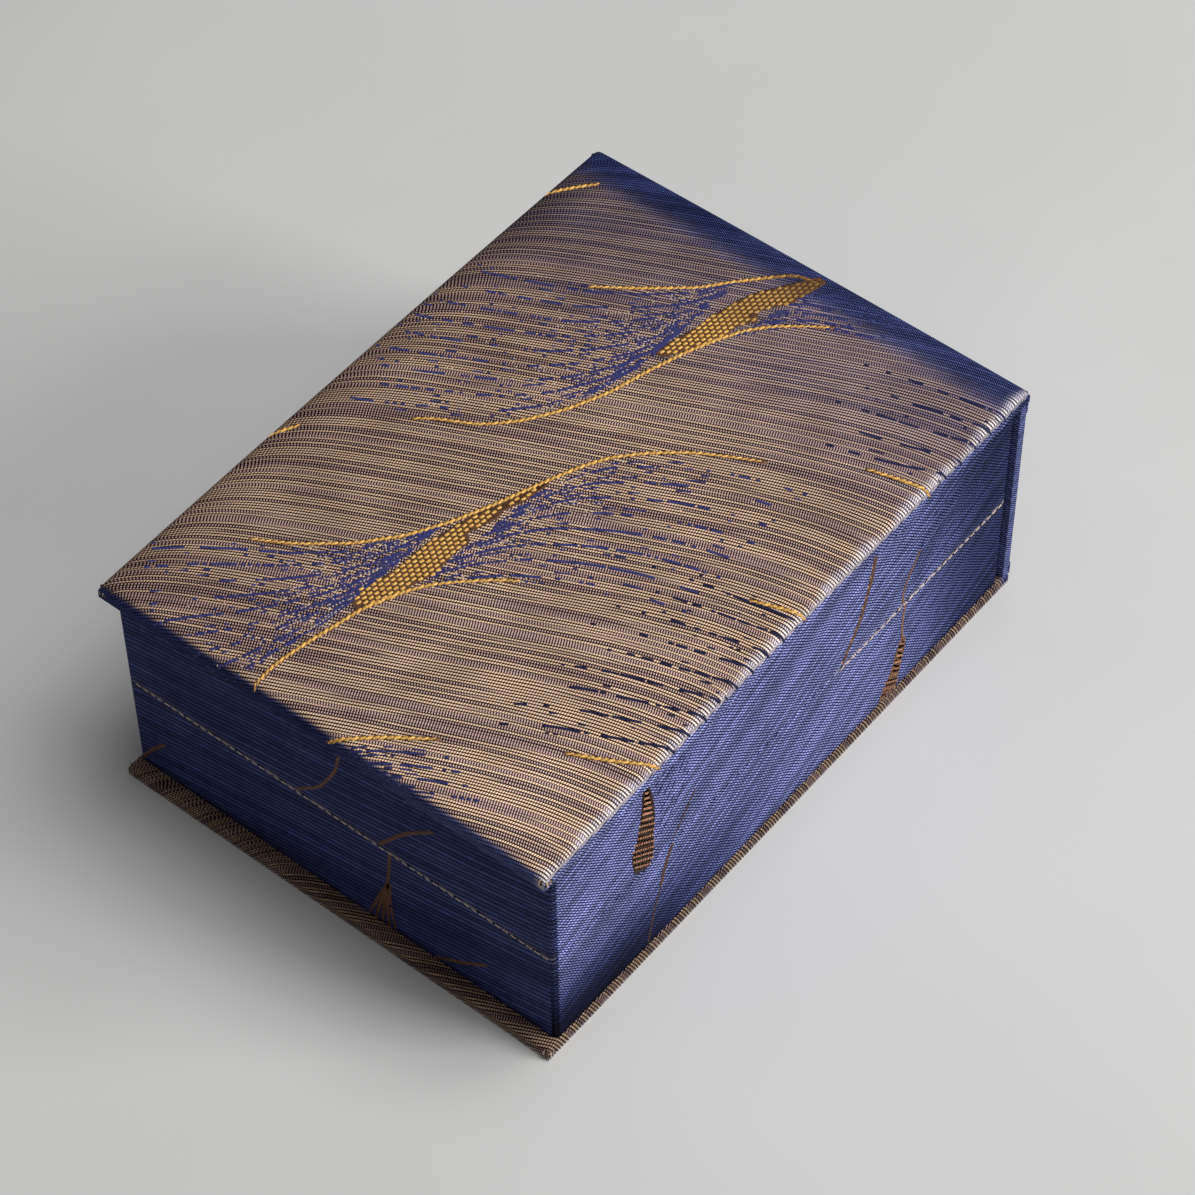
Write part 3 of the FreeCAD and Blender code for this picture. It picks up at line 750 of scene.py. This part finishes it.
spine_quill = [
    flowing_line([(-24, 44.5), (-21.5, 36), (-22.5, 27), (-28, 18)]),
    flowing_line([(-22.6, 44.5), (-16.5, 36), (-17, 27), (-26, 18)]),
]
spine_groups = [
    *wall_quill(on_spine, spine_quill, 5, 6),
    stem(on_spine, [(-27, 18), (-26, 13), (-21, 7)]),
    stem(on_spine, [(6, 45), (9, 36), (17, 28), (22, 19), (21, 7)]),
    stem(on_spine, [(43, 40), (37, 33), (34, 24)]),
]
spine_stems = thread_floats("spine_stems", spine_groups, brown_thread)
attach(spine_stems, "spine")

# The level of the cover's underside, the free height of a fold, and how far the fold bows out
LID_CEILING, FOLD_FREE, FOLD_BOW = 50.0, 3.0, 0.05


def fold_strip(name, low, high, material):
    """A free fold of cloth along the spine: a thin strip whose section bows out between its edges."""
    y = np.linspace(-SPINE["half"][0], SPINE["half"][0], 90)
    share = np.linspace(0, 1, 13)
    outside = SPINE["top"] + FOLD_BOW * np.sin(np.pi * share)
    x = np.concatenate([outside, (outside - CLOTH_THICK)[::-1]])
    rise = low + (high - low) * share
    z = np.concatenate([rise, rise[::-1]])
    points = np.stack(np.broadcast_arrays(x[:, None], y[None, :], z[:, None]), -1).reshape(-1, 3)
    weave = weave_on_wall(SPINE_GONE + points[:, 1], points[:, 2])
    quads = grid_quads(len(x), len(y), closed=True)
    index = np.arange(len(x) * len(y)).reshape(len(x), len(y))
    half = len(x) // 2
    there, back = index[:half], index[:half - 1:-1]
    caps = [
        np.stack([there[:-1, end], there[1:, end], back[1:, end], back[:-1, end]], -1) for end in (0, -1)
    ]
    return make_piece(name, points, np.concatenate([quads, *caps]), weave, material, SPINE_TONE)


lower_fold = fold_strip("lower_fold", BASE["top"], BASE["top"] + FOLD_FREE, brocade)
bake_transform(lower_fold)
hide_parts("lower_hinge_cloth")
upper_fold = fold_strip("upper_fold", LID_CEILING - FOLD_FREE, LID_CEILING, brocade)
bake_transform(upper_fold)
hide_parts("upper_hinge_cloth")

SPINE_LINING = {"half": (46.3, 23.35), "top": 0.25, "foot": 0.0, "crown": 0.0, "roll": 0.1}
points, quads, cloth = wrapped_panel(SPINE_LINING, 4.0)
points = np.stack([SPINE["foot"] - points[:, 2], -points[:, 0], points[:, 1] + SPINE_MIDDLE], -1)
spine_satin = make_piece("spine_satin", points, quads, cloth, satin)
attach(spine_satin, "spine")
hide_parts("spine_lining")

# The upper shell hangs under the cover and matches the lower one: a brocade strip round its walls and over
# its rim, a satin lining, and a thin satin pad on the inside of the cover.
lid_brocade = wall_strip("lid_brocade", LID_CEILING, RIM_LEVEL, brocade)
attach(lid_brocade, "lid")
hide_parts("lid_wall_cloth")
upper_quill = [
    flowing_line([(-40.9, 49.4), (-41.1, 45.3), (-41.6, 41.1), (-42.9, 35.5), (-44.3, 32.6),
                  (-43.4, 28.3)], 2),
    flowing_line([(-40.3, 49.4), (-38.7, 43.0), (-38.2, 38.8), (-38.5, 33.6), (-38.1, 29.0),
                  (-39.4, 26.4)], 2),
]
dotted_stem = [
    flowing_line([(22.7, 49.6), (21.4, 42), (18.9, 34), (14.5, 27)]),
    flowing_line([(23.9, 49.6), (22.5, 42), (20.0, 34), (15.4, 27)]),
]
STEM_GROUND, STEM_DOT = (1.3, 0.75, 0.05), (0.7, 0.45, 0.08)
THIN_STITCH, SHORT_STITCH = (1.0, 0.45, 0.07), (1.1, 0.6, 0.07)
# On the opening edge a stem's shade is painted shade, as for the lower shell.
lid_groups = [
    *wall_quill(on_near_side, upper_quill, 5, 7),
    stem(on_near_side, [(-27, 34.5), (-30.5, 30), (-33.1, 26.4)], 0.9, THIN_STITCH),
    (on_near_side, stitches_between(*dotted_stem, 2, 0.9, FULL, 8), STEM_GROUND, 0.8),
    (on_near_side, stitches_on(dotted_stem[0], 2.3, 40), STEM_DOT, 0.0),
    stem(on_near_side, [(37, 37), (33.4, 31.8), (32.3, 28.4), (32.8, 26.6)], 0.6, SLIM_STITCH, 0.7),
    stem(on_opening_edge, [(-2.3, 44.5), (-1, 39), (3, 31.5), (8.5, 26.4)], 0.72, SHORT_STITCH, 0.7),
    stem(on_opening_edge, [(-22.5, 40.5), (-16, 34.5), (-12, 29), (-10, 26.4)], 0.8, pitch=0.7),
    stem(on_far_side, [(-40, 48), (-36, 40), (-33, 33), (-30, 26.4)]),
    stem(on_far_side, [(12, 48), (20, 41), (30, 34), (36, 26.4)]),
]
lid_stems = thread_floats("lid_stems", lid_groups, brown_thread)
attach(lid_stems, "lid")
WALL_FALL = ((0, 0.4, 1), (0.85, 0.5, 0.1))
wall_fans = [
    ([(-37.8, 48), (-36, 49), (-34, 50)], [(-36.4, 30), (-32, 35), (-27, 43), (-24, 50)], 6, 51),
    ([(37, 38), (40, 43), (42, 50)], [(34.5, 28), (42, 31), (50, 36), (58, 43)], 5, 53),
]
fan_groups = []
for one, other, barbs, seed in wall_fans:
    stitches = stitches_between(flowing_line(one), flowing_line(other), barbs, 0.75, WALL_FALL, seed)
    fan_groups.append((on_near_side, stitches, WALL_BARB, 0.3))
lid_barbs = thread_floats("lid_barbs", fan_groups, blue_thread)
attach(lid_barbs, "lid")
lid_satin = lining_strip("lid_satin", LID_CEILING, RIM_LEVEL + LINING_DROP, satin)
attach(lid_satin, "lid")
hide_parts("lid_lining")
LID_PAD = {"half": (60.1, 43.7), "top": 4.5, "foot": 0.0, "crown": 1.0, "roll": 2.0}
lid_pad = satin_pad("lid_pad", LID_PAD, LID_CEILING, -1, 0.4, satin)
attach(lid_pad, "lid")
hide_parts("lid_pad_satin", "lid_pad_foam")

# The cover is a board with thin foam on it, under brocade drawn tight and rolled over its edges. Its gold
# rows lean across the top, with tied sheaves of gold thread and flecks of the blue ground showing through.
COVER = {"half": (67.5, 49.0), "top": 54.3, "foot": LID_CEILING, "crown": 1.0, "roll": 1.7}
points, quads, cloth = wrapped_panel(COVER, 0.9)
across, along = cloth.T
# Painted light on the cover: a painted pale sheen along the near edge, its inner boundary wavering; the
# painted gold reflection fading towards the spine edge, off the front roll and over the near edge; and
# painted shade, darker towards the far edge, the spine edge and down the front roll, lighter towards the near
# corner at the opening edge.
sheen_start = 47.0 + 0.8 * np.sin(across / 2.3) * np.sin(across / 7.1 + 1.0)
near_edge_sheen = smooth_step(-along - sheen_start, 0, 2.0) * (1 - smooth_step(-along, 49.2, 49.9))
gold_sheen = 1 - 0.24 * smooth_step(across, 16, 58) - 0.76 * smooth_step(across, 57, 64)
gold_sheen = gold_sheen * (1 - smooth_step(-across, 66.8, 67.6)) * (1 - smooth_step(-along, 48.9, 50.0))
painted_light = 0.96 - 0.22 * smooth_step(along, -10, 44)
painted_light = painted_light - 0.3 * smooth_step(across, 10, 58) - 0.34 * smooth_step(across, 58, 63)
painted_light = painted_light + 0.28 * smooth_step(-along - 0.5 * across, 30, 75)
painted_light = painted_light - 0.24 * smooth_step(along, 40, 48) - 0.74 * smooth_step(-across, 66.5, 67.7)
tone = np.stack([gold_sheen, 0.85 * near_edge_sheen, np.maximum(painted_light, 0.21)], -1)
weave = weave_on_panel(cloth)
near_side = (along < -49.4) & (np.abs(across) < COVER["half"][0])
weave[near_side] = weave_on_wall(2 * SHELL_Y + across[near_side] - SHELL_X[0], points[near_side, 2])
cover_wrap = make_piece("cover_wrap", points, quads, weave, brocade, tone)
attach(cover_wrap, "lid")
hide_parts("cover_cloth", "cover_foam")


def on_cover(p, q, lift):
    """A point of the cover's cloth: over the crown, round the rolled edge and down the side, then lifted."""
    def place(p, q):
        """The same point on the cloth itself."""
        x, cos_x, down_x = roll_over(p, COVER["half"][0], COVER["roll"])
        y, cos_y, down_y = roll_over(q, COVER["half"][1], COVER["roll"])
        z = panel_top(x, y, cos_x, cos_y, COVER) - np.maximum(down_x, down_y)
        return np.stack([x, y, np.maximum(z, COVER["foot"] + 0.2)], -1)

    by = 0.05
    out = np.cross(place(p + by, q) - place(p - by, q), place(p, q + by) - place(p, q - by))
    out /= np.maximum(np.linalg.norm(out, axis=1), 1e-9)[:, None]
    return place(p, q) + out * lift[:, None]


gold_thread = thread_material("gold_thread", (0.62, 0.30, 0.055), (1.0, 0.63, 0.19), 0.4, 0.1)
STEM_STITCH, STEM_BED = (1.5, 0.66, 0.15), (1.9, 0.9, 0.03)
QUILL_STITCH, QUILL_BED, QUILL_SEED = (1.12, 0.64, 0.16), (2.6, 1.1, 0.03), 21
STEM_PITCH, STEM_SLANT, STEM_BED_PITCH = 1.15, 20, 0.9
gold_stems = [
    [(-44, 35), (-43, 33), (-40, 28), (-34, 20.5), (-27, 14.5), (-20, 10.5), (-12, 7), (-4, 4), (3, 1.2),
     (8, -1.5), (13, -6), (18, -12), (22, -19), (24, -23)],
    [(-67.8, 13.4), (-62, 13.7), (-56, 12.7), (-50, 11.3), (-44, 10), (-38, 7.5), (-33, 4.5), (-29, 0.5),
     (-25, -4), (-23, -7)],
    [(38, 27), (43, 20), (50, 11.5), (54, 8.5), (57.5, 5.4), (60.8, 2.5), (63.7, -0.3), (64.2, -4)],
    [(-6, 31), (-4, 28.5), (0, 21), (5, 16), (12, 11.5), (20, 8), (28, 6), (36, 3.5), (42, 1), (47, -1.5),
     (51, -5), (55, -10), (57, -13)],
    [(-68.5, -3), (-66, -6), (-62, -10.5), (-57, -17.5)],
    [(-24.5, 48.6), (-20, 46)],
    [(51.5, 48.6), (56, 45.5), (59.5, 42.5)],
    [(-46, -36), (-43, -42), (-40, -47), (-38, -50)],
    [(-2, -40), (0, -45), (1.5, -50)],
    [(34, -38), (36, -45), (37, -50)],
]
gold_quills = [
    (
        flowing_line([(-43.6, 12), (-41.2, 13.1), (-34.3, 10.9), (-28.6, 10.9), (-23.8, 10.1), (-17, 8.3),
                      (-12, 6.1), (-4, 3.6)], 1.0),
        flowing_line([(-44.3, 10.1), (-39.4, 7.6), (-34.9, 6.8), (-30.6, 5.2), (-26, 5.6), (-21.8, 5.4),
                      (-21.4, 7.2), (-14.6, 5.2), (-14.2, 6.0), (-8.9, 4.1), (-4, 3.4)], 0.5),
    ),
    (
        flowing_line([(33, 7.3), (36.4, 6.9), (42.6, 5.5), (46.3, 5.2), (51.3, 4.2), (55.3, 2.7), (59.3, 0.2),
                      (64.5, -3.2)], 1.0),
        flowing_line([(33, 5.8), (35.5, 4.4), (38.2, 3), (42, 0.9), (46.3, 0.4), (49.9, -1.7), (50.1, 0.2),
                      (52.4, -0.5), (57.6, -3.8), (64.5, -5)], 0.5),
    ),
]
GRAIN_HEADING = np.array([0.97, -0.23])
COLUMN, NEXT_COLUMN = np.array([0.58, 0.82]), np.array([0.74, -0.90])


def grains_between(upper, lower):
    """Grains of gold in columns: a slanted grid of places, kept where it lies between two lines."""
    count = np.arange(-90, 91)
    i, j = np.meshgrid(count, count, indexing="ij")
    start = (upper.mean(0) + lower.mean(0)) / 2
    places = (start + i[..., None] * NEXT_COLUMN + j[..., None] * COLUMN).reshape(-1, 2)
    low, high = (np.interp(places[:, 0], line[:, 0], line[:, 1]) for line in (lower, upper))
    inside = (places[:, 1] > low) & (places[:, 1] < high)
    inside &= (places[:, 0] > upper[:, 0].min()) & (places[:, 0] < upper[:, 0].max())
    return places[inside], np.broadcast_to(GRAIN_HEADING, (inside.sum(), 2))


gold_groups, bed_groups = [], []
for stem_knots in gold_stems:
    line = flowing_line(stem_knots)
    middles, heading = stitches_on(line, STEM_PITCH, STEM_SLANT)
    taper = 1 - 0.45 * np.abs(np.linspace(-1, 1, len(middles))) ** 5
    # Every other stitch darker, and painted shade where the gold reflection fails towards the spine edge,
    # turning the thread brown.
    shade = 0.3 * (np.arange(len(middles)) % 2) + 0.75 * smooth_step(middles[:, 0], 57, 64)
    sizes = (STEM_STITCH[0], STEM_STITCH[1] * taper, STEM_STITCH[2])
    gold_groups.append((on_cover, (middles, heading), sizes, np.minimum(shade, 0.85)))
    bed_groups.append((on_cover, stitches_on(line, STEM_BED_PITCH, 0), STEM_BED, 0.6))
for number, quill in enumerate(gold_quills):
    grains = grains_between(*quill)
    at = grains[0][:, 0]
    # Copper grains further right, then painted shade where the gold reflection fails towards the spine edge
    shade = 0.12 + 0.3 * smooth_step(at, 44, 50) + 0.4 * smooth_step(at, 56, 62)
    gold_groups.append((on_cover, grains, QUILL_STITCH, shade))
    bed_groups.append((on_cover, stitches_between(*quill, 6, 1.2, ALL, QUILL_SEED + number), QUILL_BED, 0.8))
cover_gold = thread_floats("cover_gold", gold_groups, gold_thread)
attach(cover_gold, "lid")
cover_beds = thread_floats("cover_beds", bed_groups, brown_thread)
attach(cover_beds, "lid")

BARB, WISP, DOT = (0.9, 0.6, 0.05), (0.8, 0.42, 0.04), (0.38, 0.32, 0.09)
# Chances along a fan: places from 0 to 1, and the share of cells that hold a stitch there
RISING, RISING_WISP = ((0, 0.45, 0.8, 1), (0.3, 0.55, 0.75, 0.7)), ((0, 0.5, 0.8, 1), (0.03, 0.14, 0.45, 0.5))
FALLING, FALLING_WISP = ((0, 0.3, 0.6, 1), (0.7, 0.7, 0.5, 0.3)), ((0, 0.25, 0.5, 1), (0.5, 0.35, 0.1, 0.03))
LATE, LATE_WISP = ((0, 0.4, 1), (0.16, 0.45, 0.85)), ((0, 1), (0.0, 0.1))
RISING_DOT = ((0, 0.5, 0.8, 0.9, 0.95), (0.0, 0.06, 0.2, 0.2, 0.0))
FALLING_DOT = ((0.05, 0.1, 0.4, 1), (0.0, 0.22, 0.07, 0.0))
DOTTED_FANS = 3
BARB_PITCH, DOT_PITCH = 0.7, 0.9
BARB_SEED, WISP_SEED, DOT_SEED = 31, 81, 61
blue_fans = [
    ([(-80, 22), (-70, 16.5), (-60, 14.9), (-52, 13.2), (-45, 12.6)],
     [(-56, 50), (-50, 43), (-45.5, 36), (-41.5, 29), (-35.4, 21), (-28, 15), (-21, 11.2)],
     9, RISING, RISING_WISP, 0.0),
    ([(-37, 6.2), (-31, 1.5), (-25, -5), (-20, -13), (-16, -22), (-13, -33)],
     [(-6, 3.2), (3, 0.4), (8.5, -3), (14, -9.5), (19, -17), (23, -26), (25, -33)],
     8, FALLING, FALLING_WISP, 0.0),
    ([(-14, 48), (-9, 38), (-4, 30), (1, 21.6), (8, 15.2), (17, 10.2), (27, 7.8)],
     [(30, 48), (34, 38), (38.5, 27.5), (44, 19), (50.4, 11.3), (57, 6.8)],
     9, RISING, RISING_WISP, 0.0),
    ([(43, -0.6), (48, -3.4), (52, -7), (56, -13), (59, -20)],
     [(62, -4.5), (64, -7), (65, -12), (66, -18), (66.5, -25)],
     5, FALLING, FALLING_WISP, 0.0),
    ([(-52, -22), (-46, -30), (-41, -40), (-36, -50)], [(-4, -22), (-2, -30), (0, -40), (2, -50)],
     9, LATE, LATE_WISP, 0.75),
    ([(30, -24), (33, -34), (36, -42), (40, -50)], [(56, -22), (58, -30), (60, -40), (62, -50)],
     5, LATE, LATE_WISP, 0.6),
    ([(-68, -6), (-65, -9), (-62, -13), (-58, -20)], [(-68.5, -18), (-68, -22), (-66, -26), (-63, -32)],
     4, FALLING, FALLING_WISP, 0.2),
]
blue_groups, dot_groups = [], []
for number, (one, other, barbs, barb_chance, wisp_chance, shade) in enumerate(blue_fans):
    borders = flowing_line(one), flowing_line(other)
    barb_stitches = stitches_between(*borders, barbs, BARB_PITCH, barb_chance, BARB_SEED + number)
    wisp_stitches = stitches_between(*borders, 3 * barbs, BARB_PITCH, wisp_chance, WISP_SEED + number)
    blue_groups += [(on_cover, barb_stitches, BARB, shade), (on_cover, wisp_stitches, WISP, shade)]
    if number < DOTTED_FANS:
        dot_chance = RISING_DOT if barb_chance is RISING else FALLING_DOT
        dot_stitches = stitches_between(*borders, 4 * barbs, DOT_PITCH, dot_chance, DOT_SEED + number)
        dot_groups.append((on_cover, dot_stitches, DOT, 0.2))
cover_blue = thread_floats("cover_blue", blue_groups, blue_thread)
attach(cover_blue, "lid")
cover_dots = thread_floats("cover_dots", dot_groups, pale_thread)
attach(cover_dots, "lid")

# Where the brocade is gathered at each corner of the cover and the base, the spare cloth is pinched into a
# small pleated knot and glued. Those at the opening edge are painted lit, with gold reflection and a little
# pale sheen, and those by the spine unlit in painted shade, so the blue ground shows.
TUCK_IN = (1.05, 1.0)
LIT_TUCK, UNLIT_TUCK = (1.0, 0.15, 0.7), (0.0, 0.0, 0.3)
CORNERS = ((-1, -1), (1, -1), (1, 1), (-1, 1))


def corner_tucks(name, panel, level, size, material):
    """Four pinched corner folds: each an egg set on the corner's edge, rippled round its upright axis like
    pleats and drawn in towards its foot."""
    turns, rise = np.linspace(0, 2 * np.pi, 49), np.linspace(-np.pi / 2, np.pi / 2, 19)
    around, up = np.meshgrid(turns, rise, indexing="ij")
    points, quads, weave, tone = [], [], [], []
    for number, (to_x, to_y) in enumerate(CORNERS):
        pleats = 1 + 0.14 * np.cos(6 * around + 1.3 * number) + 0.05 * np.sin(11 * around + up * 3)
        wide = np.cos(up) ** 0.8 * pleats * (1 + 0.18 * np.sin(up))
        x = to_x * (panel["half"][0] - TUCK_IN[0]) + size[0] * wide * np.cos(around)
        y = to_y * (panel["half"][1] - TUCK_IN[1]) + size[1] * wide * np.sin(around)
        z = level + size[2] * np.sin(up) + 0.15 * np.cos(2 * around + number)
        quads.append(grid_quads(*x.shape) + number * x.size)
        points.append(np.stack([x, y, z], -1).reshape(-1, 3))
        weave.append(np.stack([around * 1.1 + 9 * number, up * size[2] * 1.3], -1).reshape(-1, 2))
        tone.append(np.full((x.size, 3), LIT_TUCK if to_x < 0 else UNLIT_TUCK))
    points, quads, weave, tone = (np.concatenate(part) for part in (points, quads, weave, tone))
    return make_piece(name, points, quads, weave, material, tone)


cover_tucks = corner_tucks("cover_tucks", COVER, 51.2, (1.2, 1.25, 1.1), brocade)
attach(cover_tucks, "lid")
base_tucks = corner_tucks("base_tucks", BASE, 1.2, (1.15, 1.2, 0.95), brocade)
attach(base_tucks, "base")

# Inside the walls are greyboard, foam, and the small magnets and steel keepers that hold the box shut. They
# would only show at a cut edge, so the greyboard, magnets and keepers get no more than the finish of their
# stuff.


def stuff_material(name, low, high, scale, roughness, metallic):
    """A plain stuff with a fleck or grain: two tones mixed by noise over the object."""
    material, tree, stuff = new_material(name)
    place = add(tree, "ShaderNodeTexCoord").outputs["Object"]
    grain = add(tree, "ShaderNodeTexNoise", place, None, scale, 4.0).outputs[0]
    share = fade(tree, grain, 0.32, 0.68)
    tree.links.new(tint(tree, share, low, high), stuff.inputs["Base Color"])
    tree.links.new(fade(tree, share, 0.0, 1.0, roughness + 0.08, roughness - 0.08), stuff.inputs["Roughness"])
    relief(tree, stuff, share, 0.3, 0.0001)
    stuff.inputs["Metallic"].default_value = metallic
    return material


greyboard = stuff_material("greyboard", (0.20, 0.18, 0.155), (0.33, 0.30, 0.265), 900.0, 0.85, 0.0)
magnet = stuff_material("magnet", (0.42, 0.42, 0.43), (0.60, 0.60, 0.61), 1200.0, 0.3, 1.0)
keeper = stuff_material("keeper_steel", (0.35, 0.35, 0.36), (0.50, 0.50, 0.51), 1500.0, 0.4, 1.0)
BOARDS = [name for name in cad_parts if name.endswith(("_board", "_wall", "_card"))]
for names, material in ((BOARDS, greyboard), (["rim_magnets"], magnet), (["rim_keepers"], keeper)):
    for name in names:
        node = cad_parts[name]
        node.data.materials.clear()
        node.data.materials.append(material)

# The stage: a plain pale floor, a large soft lamp to the right, one overhead, and the camera at the
# photo's angle.
FLOOR_HALF, FLOOR_LEVEL = 3000, -0.02
pale_floor = stuff_material("pale_floor", (0.60, 0.60, 0.595), (0.64, 0.64, 0.635), 6.0, 0.8, 0.0)
pale_floor.node_tree.nodes["Principled BSDF"].inputs["Specular IOR Level"].default_value = 0.0
floor_points = np.array([(x * FLOOR_HALF, y * FLOOR_HALF, FLOOR_LEVEL) for x, y in CORNERS])
floor = make_piece("floor", floor_points, np.array([[0, 1, 2, 3]]), floor_points[:, :2], pale_floor)
LAMP_AIM = (0, 0, 0.03)


def soft_lamp(name, place, size, power, colour):
    """A square soft lamp at a place in metres, facing a spot inside the box."""
    lamp = bpy.data.lights.new(name, "AREA")
    lamp.shape, lamp.size, lamp.energy, lamp.color = "SQUARE", size, power, colour
    holder = bpy.data.objects.new(name, lamp)
    bpy.context.collection.objects.link(holder)
    back = np.array(place) - LAMP_AIM
    back /= np.linalg.norm(back)
    right = np.cross([0, 0, 1], back)
    right /= np.linalg.norm(right)
    turn = np.stack([right, np.cross(back, right), back], -1)
    holder.matrix_world = Matrix.Translation(place) @ Matrix(turn.tolist()).to_4x4()


soft_lamp("right_lamp", (0.80, -1.60, 0.80), 0.9, 26.0, (1.0, 0.985, 0.97))
soft_lamp("top_lamp", (0.12, -0.22, 0.85), 0.5, 5.0, (1.0, 1.0, 1.0))
WORLD_STRENGTH = 0.14
world = bpy.data.worlds.new("studio")
bpy.context.scene.world = world
world.use_nodes = True
world.node_tree.nodes["Background"].inputs[0].default_value = (1.0, 1.0, 1.0, 1.0)
world.node_tree.nodes["Background"].inputs[1].default_value = WORLD_STRENGTH

AZIMUTH, ELEVATION, ROLL = (math.radians(angle) for angle in (-50.581, 50.708, -0.70))
FOCAL_PIXELS, PICTURE_PIXELS = 3967.2, 1195
EYE_RIGHT, EYE_OVER, EYE_BACK = 3.821, 14.298, 725.834
level = math.cos(ELEVATION)
back = np.array([math.sin(AZIMUTH) * level, -math.cos(AZIMUTH) * level, math.sin(ELEVATION)])
right = np.array([math.cos(AZIMUTH), math.sin(AZIMUTH), 0.0])
over = np.cross(back, right)
right, over = (
    math.cos(ROLL) * right + math.sin(ROLL) * over,
    math.cos(ROLL) * over - math.sin(ROLL) * right,
)
eye = (EYE_RIGHT * right + EYE_OVER * over + EYE_BACK * back) * MM
camera = bpy.data.cameras.new("camera")
camera.sensor_width = 36.0
camera.lens = FOCAL_PIXELS / PICTURE_PIXELS * camera.sensor_width
camera.clip_start, camera.clip_end = 0.05, 20
holder = bpy.data.objects.new("camera", camera)
bpy.context.collection.objects.link(holder)
turn = np.stack([right, over, back], -1)
holder.matrix_world = Matrix.Translation(eye.tolist()) @ Matrix(turn.tolist()).to_4x4()
bpy.context.scene.camera = holder
bpy.context.scene.view_settings.view_transform = "Standard"
